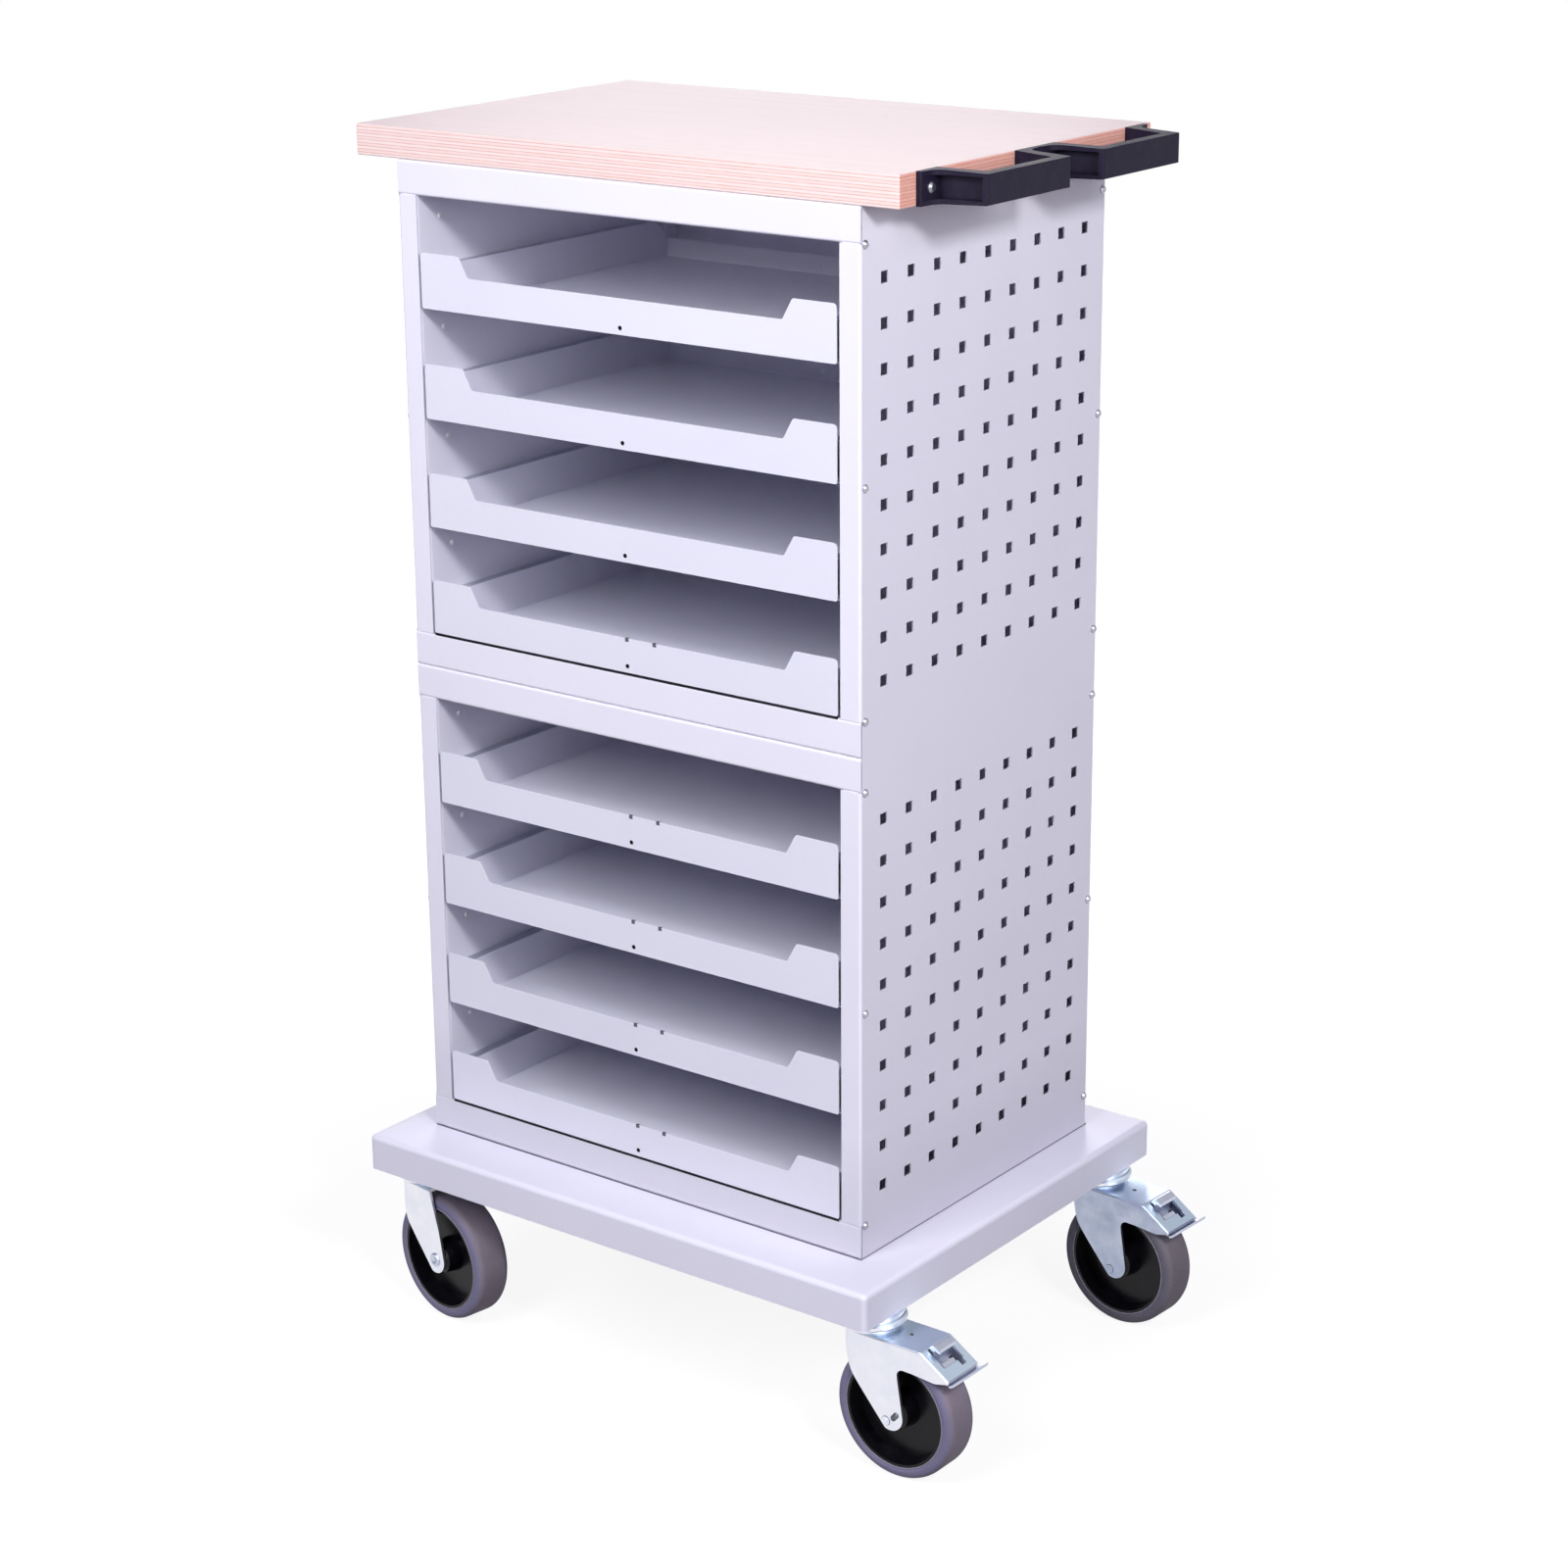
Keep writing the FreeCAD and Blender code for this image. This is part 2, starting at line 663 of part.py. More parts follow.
def rounded_cover(x0, x1, y0, y1, z0, z1, radius):
    """A block with rounded uprights and a rounded upper edge."""
    block = box(x0, x1, y0, y1, z0, z1)
    edges = [edge for edge in block.Edges if edge.CenterOfMass.z > z0 + 1e-6]
    return block.makeFillet(radius, edges)


def platform():
    """The folded cover plate: a top with four skirts and soft edges."""
    wall = platform_sheet
    outer = rounded_cover(platform_left, platform_right, platform_front, platform_rear,
                          platform_bottom, platform_top, platform_edge_radius)
    inner = rounded_cover(platform_left + wall, platform_right - wall,
                          platform_front + wall, platform_rear - wall,
                          platform_bottom - wall, platform_top - wall, platform_edge_radius - wall)
    return cut_all(outer.cut(inner), bolt_holes(platform_bottom, platform_top + sheet))


def caster_channels():
    """The two channels across the underside that carry the casters."""
    channels = []
    for x in sorted({place[0] for place in caster_places.values()}):
        half = channel_width / 2
        high = platform_top - platform_sheet
        path = [(x - half, high), (x - half, platform_bottom), (x + half, platform_bottom), (x + half, high)]
        end_gap = platform_sheet + platform_edge_radius
        channel = bent_sheet(path, channel_sheet, bend_radius, "XZ", platform_front + end_gap,
                             platform_rear - end_gap)
        low, depth = platform_bottom - sheet, 2 * channel_sheet + sheet
        holes = [rod(kingpin_radius + hole_play, Vector(x, place[1], low), Vector(0, 0, 1), depth)
                 for place in caster_places.values() if place[0] == x]
        channels.append(cut_all(channel, holes))
    return channels


def joining_bolts():
    """Bolts through platform and lower housing, through both housings, and up into the worktop."""
    pieces = []
    radius = bolt_diameter / 2
    between_housings = housing_base["upper"]
    joints = [(platform_top + sheet, platform_top - platform_sheet),
              (between_housings + sheet, between_housings - sheet)]
    for x, y in bolt_places():
        for head_face, nut_face in joints:
            end = nut_face - bolt_end
            shank = rod(radius, Vector(x, y, end), Vector(0, 0, 1), head_face - end)
            head = hexagon(bolt_head_width, head_face, head_face + bolt_head_height, x, y)
            nut = hexagon(bolt_head_width, nut_face - bolt_head_height, nut_face, x, y)
            bore = rod(radius + hole_play, Vector(x, y, nut_face - bolt_end), Vector(0, 0, 1), bolt_end)
            pieces += [head.fuse(shank), nut.cut(bore)]
        under_deck = worktop_bottom - sheet
        head = hexagon(bolt_head_width, under_deck - bolt_head_height, under_deck, x, y)
        shank = rod(radius, Vector(x, y, under_deck), Vector(0, 0, 1), worktop_screw_depth - sheet)
        pieces.append(head.fuse(shank))
    return pieces


# Casters, drawn about their swivel axis with the wheel trailing towards +X
axle_x = caster_offset
axle_z = wheel_radius
fork_top = axle_z + fork_plate_height
upper_race_low = platform_bottom - upper_race_height
lower_race_height = upper_race_low - side_clearance - fork_top
fork_inside = fork_half_width - fork_sheet
hub_half = fork_inside - side_clearance
axle_half = fork_inside + axle_seat
axle_direction = Vector(0, 1, 0)


def from_axle(points):
    """Outline points given from the axle, moved to the swivel axis and the floor."""
    return [(axle_x + x, axle_z + z, radius) for x, z, radius in points]


def fork_side(braked):
    """The fork's outline from the side."""
    nose = -fork_nose_centre - fork_half_width - fork_sheet
    front = [(nose, fork_plate_height, 0), *fork_front_edge, (fork_foot_radius, fork_foot_top, 0)]
    if not braked:
        return front + list(fork_rear_edge_plain)
    tail_low = fork_tail_height - fork_sheet
    tail = [(fork_tail_reach, tail_low, 0), (fork_tail_reach, fork_tail_height, 0)]
    return front + [*fork_rear_edge, *tail, (fork_bend_reach, fork_plate_height, 2 * fork_sheet)]


def stadium(half_width, low, high):
    """The fork's plan: a round nose about the swivel axis and straight sides."""
    tail = axle_x + fork_tail_reach + 2 * fork_sheet
    nose_x = axle_x - fork_nose_centre
    nose = rod(half_width, Vector(nose_x, 0, low), Vector(0, 0, 1), high - low)
    return nose.fuse(box(nose_x, tail, -half_width, half_width, low, high)).removeSplitter()


def round_folds(body):
    """Rounds the folds where the top sheet turns down into the nose and the two legs."""
    lowest = axle_z + fork_tail_height - fork_sheet / 2
    folds = []
    for edge in body.Edges:
        room = edge.BoundBox
        straight_across = room.XLength < fork_sheet and room.YLength > fork_half_width
        if room.ZMin > lowest and not straight_across:
            folds.append(edge)
    return body.makeFillet(fork_fold, folds)


def hood_hollow(hollow, hollow_top):
    """The room inside the fork, cut back so that the sloping hood keeps its thickness."""
    start, end = axle_x + fork_bend_reach, axle_x + fork_tail_reach
    fall = (fork_plate_height - fork_tail_height) / (fork_tail_reach - fork_bend_reach)
    drop = fork_sheet * math.sqrt(1 + fall ** 2)
    run = 4 * fork_sheet
    near = start - fork_sheet * fall / 2
    low_end = axle_z + fork_tail_height - drop - fall * run
    lid = [(near, hollow_top, 0), (end + run, low_end, 0), (end + run, fork_top + run, 0),
           (near, fork_top + run, 0)]
    return hollow.cut(plate(lid, "XZ", -2 * fork_half_width, 2 * fork_half_width))


def leg_rivets():
    """A low round rivet head with a raised crown on the outside of each leg."""
    heads = []
    for radius, rise in ((rivet_radius, rivet_rise), (rivet_crown_radius, rivet_crown_rise)):
        half = fork_half_width + rise
        for start, length in ((-half, rise), (fork_half_width, rise)):
            place = Vector(axle_x + rivet_reach, start, axle_z + rivet_height)
            heads.append(rod(radius, place, axle_direction, length))
    return heads


def fork(braked):
    """A pressed fork: wrapped nose, two legs and a top plate; a braked one has a hood with a window."""
    foot_low = axle_z - fork_foot_radius - fork_sheet
    width = fork_half_width
    side = plate(from_axle(fork_side(braked)), "XZ", -width, width)
    foot = rod(fork_foot_radius, Vector(axle_x, -width, axle_z), axle_direction, 2 * width)
    body = round_folds(stadium(width, foot_low, fork_top).common(side.fuse(foot)).removeSplitter())
    hollow_top = fork_top - fork_sheet
    hollow = stadium(fork_inside, foot_low - fork_sheet, hollow_top)
    if braked:
        hollow = hood_hollow(hollow, hollow_top)
    body = body.cut(hollow)
    race = rod(lower_race_radius, Vector(0, 0, fork_top), Vector(0, 0, 1), lower_race_height)
    body = body.fuse([race] + leg_rivets())
    below, above = hollow_top - fork_sheet, 2 * fork_sheet + upper_race_height
    axle_room = axle_half + hole_play
    cuts = [rod(kingpin_radius + running_clearance, Vector(0, 0, below), Vector(0, 0, 1), above),
            rod(fork_hole_diameter / 2, Vector(axle_x + fork_hole_reach, 0, below), Vector(0, 0, 1), above),
            rod(axle_radius + hole_play, Vector(axle_x, -axle_room, axle_z), axle_direction, 2 * axle_room)]
    if braked:
        low, high = axle_z + fork_tail_height - 2 * fork_sheet, fork_top + fork_sheet
        start, end = axle_x + window_start, axle_x + window_end
        cuts.append(box(start, end, -window_half_width, window_half_width, low, high))
        cuts.append(box(start, axle_x + window_slot_end, window_slot_left, window_slot_right, low, high))
    body = cut_all(body, cuts)
    if braked:
        pivot = Vector(axle_x + pedal_pivot_reach, -width, axle_z + pedal_pivot_height)
        body = body.fuse(rod(pedal_pin_radius, pivot, axle_direction, 2 * width))
    return body.removeSplitter()


def axle():
    """The wheel axle, seated in a blind hole in each leg."""
    return rod(axle_radius, Vector(axle_x, -axle_half, axle_z), axle_direction, 2 * axle_half)


def turned(profile):
    """A ring about the axle from (radius, distance along the axle, corner radius) points."""
    ring = Part.Face(outline(profile, "XY")).revolve(Vector(0, 0, 0), axle_direction, 360)
    ring.translate(Vector(axle_x, 0, axle_z))
    return ring


def rim():
    """The moulded wheel centre: hub, dished web and seat for the tyre."""
    seat_half = wheel_width / 2 - rim_lip_inset
    half_web = rim_web / 2
    half = [(axle_radius + running_clearance, -hub_half, 0), (hub_radius - hub_chamfer, -hub_half, 0),
            (hub_radius, -hub_half + hub_chamfer, 0), (hub_radius + hub_flare, -half_web, 0),
            (rim_inner_radius - rim_dish_taper, -half_web, 0),
            (rim_inner_radius, -seat_half, 0), (rim_radius - running_clearance, -seat_half, 0)]
    return turned(half + [(r, -y, corner) for r, y, corner in half[::-1]])


def tyre():
    """The tyre with rounded shoulders and slightly bulging walls."""
    half = wheel_width / 2
    fullest = rim_radius + (wheel_radius - rim_radius) / 3
    side = [(rim_radius, -half + tyre_seat_inset, 0), (fullest, -half, 0),
            (wheel_radius, -half + tyre_bulge, wheel_shoulder)]
    return turned(side + [(r, -y, corner) for r, y, corner in side[::-1]])


def pedal():
    """The brake pedal: a bent lever on a pin with a hooked tab, a brake shoe and a wide upturned lip."""
    half = fork_inside - pedal_side_gap
    path = [(pedal_pivot_reach, pedal_pivot_height - pedal_hub_radius), (pedal_knee_reach, pedal_knee_height),
            (pedal_heel_reach, pedal_heel_height), (pedal_tip_reach, pedal_tip_height)]
    path = [(axle_x + x, axle_z + z) for x, z in path]
    lever = bent_sheet(path, pedal_sheet, pedal_heel_bend, "XZ", -lip_half_width, lip_half_width)
    step = lip_half_width - half
    near_side = [(path[0][0], -half, 0), (axle_x + lip_start, -half, 0),
                 (axle_x + lip_start + step, -lip_half_width, 0), (path[-1][0], -lip_half_width, lip_corner)]
    plan = near_side + [(x, -y, corner) for x, y, corner in near_side[::-1]]
    lever = lever.common(plate(plan, "XY", 0, fork_top))
    slot_start, slot_end = axle_x + window_end - window_slot_right, axle_x + window_slot_end
    lever = lever.cut(box(slot_start, slot_end, window_slot_left, window_slot_right, 0, fork_top))
    pivot = Vector(axle_x + pedal_pivot_reach, -half, axle_z + pedal_pivot_height)
    hub = rod(pedal_hub_radius, pivot, axle_direction, 2 * half)
    tab = plate(from_axle(tab_section), "XZ", -tab_half_width, tab_half_width)
    shoe = plate(from_axle(shoe_section), "XZ", shoe_left, shoe_right)
    bore = rod(pedal_pin_radius + running_clearance, pivot, axle_direction, 2 * half)
    return lever.fuse([hub, tab, shoe]).cut(bore).removeSplitter()


def caster_race():
    """The fixed upper race with the kingpin through it, and the nut above the channel."""
    groove_high = platform_bottom - race_flange_height
    groove_low = groove_high - race_groove_height
    profile = [(0, upper_race_low, 0), (upper_race_radius - race_chamfer, upper_race_low, 0),
               (upper_race_radius, upper_race_low + race_chamfer, 0),
               (upper_race_radius, groove_low - race_chamfer, 0), (upper_race_radius - race_chamfer, groove_low, 0),
               (race_groove_radius, groove_low, 0), (race_groove_radius, groove_high, 0),
               (race_flange_radius, groove_high, 0), (race_flange_radius, platform_bottom, 0),
               (0, platform_bottom, 0)]
    race = Part.Face(outline(profile, "XZ")).revolve(Vector(0, 0, 0), Vector(0, 0, 1), 360)
    pin_low = fork_top - fork_sheet - side_clearance
    pin_high = platform_bottom + kingpin_thread
    pin = rod(kingpin_radius, Vector(0, 0, pin_low), Vector(0, 0, 1), pin_high - pin_low)
    foot = rod(kingpin_foot_radius, Vector(0, 0, pin_low - fork_sheet), Vector(0, 0, 1), fork_sheet)
    nut_low = platform_bottom + channel_sheet
    nut = hexagon(kingpin_nut_width, nut_low, nut_low + kingpin_nut_height, 0, 0)
    bore = rod(kingpin_radius + hole_play, Vector(0, 0, platform_bottom), Vector(0, 0, 1), 2 * kingpin_thread)
    return [race.fuse([pin, foot]).removeSplitter(), nut.cut(bore)]


def placed(shapes, corner):
    """Caster pieces turned to their rest angle and moved to their corner of the platform."""
    x, y = caster_places[corner]
    result = []
    for shape in shapes:
        copy = shape.copy()
        copy.rotate(Vector(0, 0, 0), Vector(0, 0, 1), caster_turn[corner])
        copy.translate(Vector(x, y, 0))
        result.append(copy)
    return result


# Assembly
nodes = {
    "worktop": [worktop()],
    "front_handle": [handle(handle_centres[0])],
    "rear_handle": [handle(handle_centres[1])],
    "handle_screws": handle_screws(),
    "platform": [platform()],
    "caster_channels": caster_channels(),
    "panel_screws": panel_screws(),
    "wall_plugs": wall_plugs(),
    "joining_bolts": joining_bolts(),
    "caster_races": [piece for corner in caster_places for piece in placed(caster_race(), corner)],
}
for name, base in housing_base.items():
    skin = side_panel(base)
    wall = inner_wall(base)
    nodes[name + "_side_panel_right"] = [skin]
    nodes[name + "_side_panel_left"] = [mirrored(skin)]
    nodes[name + "_inner_walls"] = both_sides([wall])
    nodes[name + "_decks"] = [deck(base, False), deck(base, True)]
    nodes[name + "_back_panel"] = [back_panel(base)]
    outer_rails = [rail(wall_face, slide_flange_end, outer_half, level) for level in tray_levels(base)]
    nodes[name + "_outer_rails"] = both_sides(outer_rails)

levels = sorted((level for base in housing_base.values() for level in tray_levels(base)), reverse=True)
for number, level in enumerate(levels, start=1):
    nodes[f"tray_{number}"] = [tray(level)]
    middle = rail(middle_web_face, slide_flange_end, middle_half, level)
    inner = rail(tray_side_face, inner_flange_end, inner_half, level)
    nodes[f"middle_rails_{number}"] = both_sides([middle])
    nodes[f"inner_rails_{number}"] = both_sides([inner])

for corner in caster_places:
    braked = corner.endswith("right")
    nodes["fork_" + corner] = placed([fork(braked), axle()], corner)
    nodes["rim_" + corner] = placed([rim()], corner)
    nodes["tyre_" + corner] = placed([tyre()], corner)
    if braked:
        nodes["brake_pedal_" + corner] = placed([pedal()], corner)

os.makedirs("parts", exist_ok=True)
for name, shapes in nodes.items():
    solids = [solid for shape in shapes for solid in shape.Solids]
    whole = solids[0] if len(solids) == 1 else Part.makeCompound(solids)
    whole.exportStep("parts/" + name + ".step")
    print(name, len(solids), "solids", round(sum(solid.Volume for solid in solids) / 1000, 1), "cm3",
          "valid" if whole.isValid() else "NOT VALID")
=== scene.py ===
# %% [markdown]
# # A mobile drawer cabinet, dressed for its picture
# The cabinet is two steel housings with pull-out trays, perforated side panels, a plywood worktop with two
# bow handles, and a platform on four casters. Its solids come from a construction model, so every hole,
# fold and wheel is already in place. What is left to make here is what the eye reads as real: the paint's
# fine texture, the plies of the board, zinc plating, rubber, and the small fittings. All lengths are in
# metres, the trays face -Y, the handles are on +X and the floor is at Z = 0.

# %% Load the construction model
import json
import math
import bmesh
import bpy
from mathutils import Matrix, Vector


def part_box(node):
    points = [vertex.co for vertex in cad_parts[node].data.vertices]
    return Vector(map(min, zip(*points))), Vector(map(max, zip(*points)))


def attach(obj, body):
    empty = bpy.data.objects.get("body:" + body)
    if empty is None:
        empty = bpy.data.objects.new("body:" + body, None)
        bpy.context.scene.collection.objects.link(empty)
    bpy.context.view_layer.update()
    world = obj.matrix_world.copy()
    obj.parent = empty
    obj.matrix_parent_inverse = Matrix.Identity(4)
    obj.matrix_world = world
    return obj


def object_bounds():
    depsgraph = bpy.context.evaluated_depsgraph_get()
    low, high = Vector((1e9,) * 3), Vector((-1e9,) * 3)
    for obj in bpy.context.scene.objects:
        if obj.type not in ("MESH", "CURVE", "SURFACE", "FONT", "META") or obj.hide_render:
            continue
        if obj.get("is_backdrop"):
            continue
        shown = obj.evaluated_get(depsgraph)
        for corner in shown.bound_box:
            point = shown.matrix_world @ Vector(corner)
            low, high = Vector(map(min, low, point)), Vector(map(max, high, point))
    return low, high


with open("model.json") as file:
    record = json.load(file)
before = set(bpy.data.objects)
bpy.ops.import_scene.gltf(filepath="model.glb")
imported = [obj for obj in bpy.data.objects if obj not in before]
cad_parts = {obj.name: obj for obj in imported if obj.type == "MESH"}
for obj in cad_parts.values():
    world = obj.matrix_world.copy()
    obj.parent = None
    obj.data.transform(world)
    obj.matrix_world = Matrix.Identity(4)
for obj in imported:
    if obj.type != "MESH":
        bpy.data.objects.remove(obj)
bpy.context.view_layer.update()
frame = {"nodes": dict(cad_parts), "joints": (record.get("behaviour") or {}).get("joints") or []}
nodes = frame["nodes"]

# %% [markdown]
# ## The camera
# The picture was taken from the right, in front of and above the cabinet. A long lens keeps the uprights
# nearly parallel. The camera's place, turn and lens were worked out from the square holes of the side
# panels, whose pitch is known, so they are written as plain values. The shift moves the picture without
# turning the camera.

# %% Camera
camera_place = Vector((1.8801, -2.4456, 1.5376))
camera_turn_deg = (71.776, 0.693, 37.762)
camera_data = bpy.data.cameras.new("camera")
camera_data.sensor_width = 36.0
camera_data.lens = 79.59
camera_data.shift_x = 0.0332
camera_data.shift_y = 0.0060
camera_data.clip_end = 50.0
camera = bpy.data.objects.new("camera", camera_data)
camera.location = camera_place
camera.rotation_euler = [math.radians(angle) for angle in camera_turn_deg]
bpy.context.collection.objects.link(camera)
bpy.context.scene.camera = camera
bpy.context.scene.view_settings.view_transform = "Standard"
print("camera is", round(camera_place.length, 2), "m from the floor centre")

# %% [markdown]
# ## Writing shaders as sums
# A procedural finish is mostly arithmetic: a pattern times an amount, plus a base value. Adding Math nodes
# one by one hides that, so a small class wraps a node's output and gives it the usual operators. `1 - mask`
# then adds the subtract node by itself.

# %% Shader arithmetic
class Signal:
    """The output of a shader node, on which arithmetic adds Math nodes."""

    def __init__(self, bench, socket):
        self.bench = bench
        self.socket = socket

    def math(self, operation, *values):
        """A Math node fed with these values, or with the signal alone."""
        return self.bench.node("ShaderNodeMath", {"operation": operation}, values or [self])

    def __add__(self, other):
        return self.math("ADD", self, other)

    def __sub__(self, other):
        return self.math("SUBTRACT", self, other)

    def __rsub__(self, other):
        return self.math("SUBTRACT", other, self)

    def __mul__(self, other):
        return self.math("MULTIPLY", self, other)

    def __gt__(self, other):
        return self.math("GREATER_THAN", self, other)

    def most(self, other):
        """The larger of two signals."""
        return self.math("MAXIMUM", self, other)

    __radd__ = __add__
    __rmul__ = __mul__


print("a signal can be added, subtracted, multiplied and compared")

# %% [markdown]
# ## A bench for each material
# The other nodes are added by methods of a second class, which stands for one material. Colours and vectors
# don't go through Math nodes, which would turn them grey, so they have methods of their own. A value that
# is the same all over the surface isn't linked: it is set on the shader's own socket when the bench is
# made.

# %% The bench
class Bench:
    """One material with its nodes, and the methods that add to them."""

    def __init__(self, name, **constants):
        self.material = bpy.data.materials.new(name)
        self.material.use_nodes = True
        self.tree = self.material.node_tree
        self.shader = self.tree.nodes["Principled BSDF"]
        for socket, value in constants.items():
            self.shader.inputs[socket.replace("_", " ")].default_value = value

    def node(self, kind, settings=None, inputs=(), output=0):
        """Adds a node: its settings first, then values or signals for its sockets, by order or by name."""
        made = self.tree.nodes.new(kind)
        for key, value in (settings or {}).items():
            if key == "stops":
                self.set_stops(made.color_ramp, value)
            else:
                setattr(made, key, value)
        pairs = inputs.items() if isinstance(inputs, dict) else enumerate(inputs)
        for key, value in pairs:
            if isinstance(value, Signal):
                self.tree.links.new(value.socket, made.inputs[key])
            else:
                made.inputs[key].default_value = value
        return Signal(self, made.outputs[output])

    def set_stops(self, ramp, stops):
        """Gives a colour ramp its stops, as (place, colour) pairs."""
        while len(ramp.elements) < len(stops):
            ramp.elements.new(1.0)
        for element, (place, colour) in zip(ramp.elements, stops):
            element.position = place
            element.color = (*colour, 1.0)

    def place(self):
        """Where a point of the piece is, in metres."""
        return self.node("ShaderNodeTexCoord", output="Object")

    def ray(self, kind):
        """1 for rays of one kind, such as "Camera" or "Glossy", and 0 for all others."""
        return self.node("ShaderNodeLightPath", output=f"Is {kind} Ray")

    def facing(self):
        """The direction that the surface looks in."""
        return self.node("ShaderNodeNewGeometry", output="Normal")

    def vector(self, operation, first, second=None, output=0):
        """A Vector Math node fed with one or two vectors."""
        values = [first] if second is None else [first, second]
        return self.node("ShaderNodeVectorMath", {"operation": operation}, values, output)

    def stretch(self, vector, factors):
        """A vector times three numbers."""
        return self.vector("MULTIPLY", vector, factors)

    def split(self, vector, axis):
        """One of a vector's three numbers."""
        return self.node("ShaderNodeSeparateXYZ", {}, [vector], axis)

    def noise(self, vector, size, detail=3.0, roughness=0.55):
        """Soft noise from 0 to 1 whose patches are about this size, in metres."""
        values = {"Vector": vector, "Scale": 1 / size, "Detail": detail, "Roughness": roughness}
        return self.node("ShaderNodeTexNoise", {}, values, "Fac")

    def blend(self, amount, first, second, mode="MIX"):
        """Two colours mixed by an amount from 0 to 1."""
        made = self.tree.nodes.new("ShaderNodeMix")
        made.data_type = "RGBA"
        made.blend_type = mode
        for index, value in ((0, amount), (6, first), (7, second)):
            if isinstance(value, Signal):
                self.tree.links.new(value.socket, made.inputs[index])
            else:
                made.inputs[index].default_value = (*value, 1.0) if index else value
        return Signal(self, made.outputs[2])

    def feed(self, socket, signal):
        """Links a signal to one of the shader's sockets."""
        self.tree.links.new(signal.socket, self.shader.inputs[socket])

    def raise_by(self, height, depth):
        """Bumps the surface by a height from 0 to 1 times a depth in metres."""
        inputs = {"Height": height, "Distance": depth, "Strength": 1.0}
        self.feed("Normal", self.node("ShaderNodeBump", {}, inputs, "Normal"))


def wear(signal, low, high, start=0.0, end=1.0):
    """Spreads the part of a signal between low and high over start to end, and holds it there outside."""
    return signal.bench.node("ShaderNodeMapRange", {"clamp": True}, [signal, low, high, start, end])


print("a bench can add:", ", ".join(name for name in vars(Bench) if not name.startswith("_")))

# %% [markdown]
# ## Powder-coated steel
# Housings, trays and platform are sprayed with dry paint that is baked on. It melts into a satin skin with
# a fine orange-peel texture. Small noises make the peel's bump, and a broad, faint one varies colour and
# gloss so that large panels don't look like plastic. Low on the housings the coat is darker, a painted shade
# that fades out upwards and takes back some of the light that the platform throws up there.

# %% Powder coat
foot_low, foot_high = 0.185, 0.300  # heights between which the painted shade at the foot fades out


def powder_coat(name, colour, shade, gloss, foot=1.0):
    """A satin powder coat with orange peel and faint clouding. Foot below 1 paints shade near the floor."""
    bench = Bench(name, Metallic=0.0, Coat_Roughness=0.25, Specular_IOR_Level=0.45)
    place = bench.place()
    cloud = bench.noise(place, 0.16, 2.0)
    fine = bench.noise(place, 0.0011, 2.0)
    peel = bench.noise(place, 0.0032, 2.0)
    dust = wear(bench.noise(place, 0.02, 5.0, 0.7), 0.55, 0.8)
    tint = bench.blend(wear(cloud, 0.3, 0.7), colour, shade)
    darker = tuple(0.93 * value for value in shade)
    coat = bench.blend(dust * 0.25, tint, darker)
    # Painted shade: with foot below 1 the coat turns darker towards the floor.
    if foot < 1.0:
        shaded_foot_coat = bench.blend(dust * 0.25, tuple(foot * value for value in shade), darker)
        coat = bench.blend(wear(bench.split(place, 2), foot_low, foot_high), shaded_foot_coat, coat)
    bench.feed("Base Color", coat)
    bench.feed("Roughness", gloss + 0.08 * cloud + 0.05 * dust)
    bench.raise_by(peel * 0.8 + fine * 0.2, 0.00006)
    return bench.material


# The housings take painted shade near the floor.
housing_paint = powder_coat("housing_paint", (0.835, 0.825, 0.93), (0.81, 0.80, 0.905), 0.42, 0.76)
tray_paint = powder_coat("tray_paint", (0.79, 0.79, 0.895), (0.765, 0.765, 0.875), 0.40)
platform_paint = powder_coat("platform_paint", (0.81, 0.805, 0.91), (0.785, 0.78, 0.89), 0.40)
print("powder coats:", housing_paint.name, tray_paint.name, platform_paint.name)

# %% [markdown]
# ## Plywood
# The board is glued up from thin plies whose grain runs by turns along and across it. Its faces show one
# veneer with long, pale streaks. Its edges show every ply as a stripe: a ply seen along its grain is pale,
# one seen on its end is darker, and each glue line is a fine dark line. The place of a point gives the ply
# it is in, so no drawing is needed, and the direction of the surface tells face from edge.

# %% Plywood
board_low, board_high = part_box("worktop")
ply_count = 10
veneer_stops = [(0.30, (0.850, 0.675, 0.648)), (0.55, (0.880, 0.715, 0.688)), (0.75, (0.900, 0.745, 0.720))]


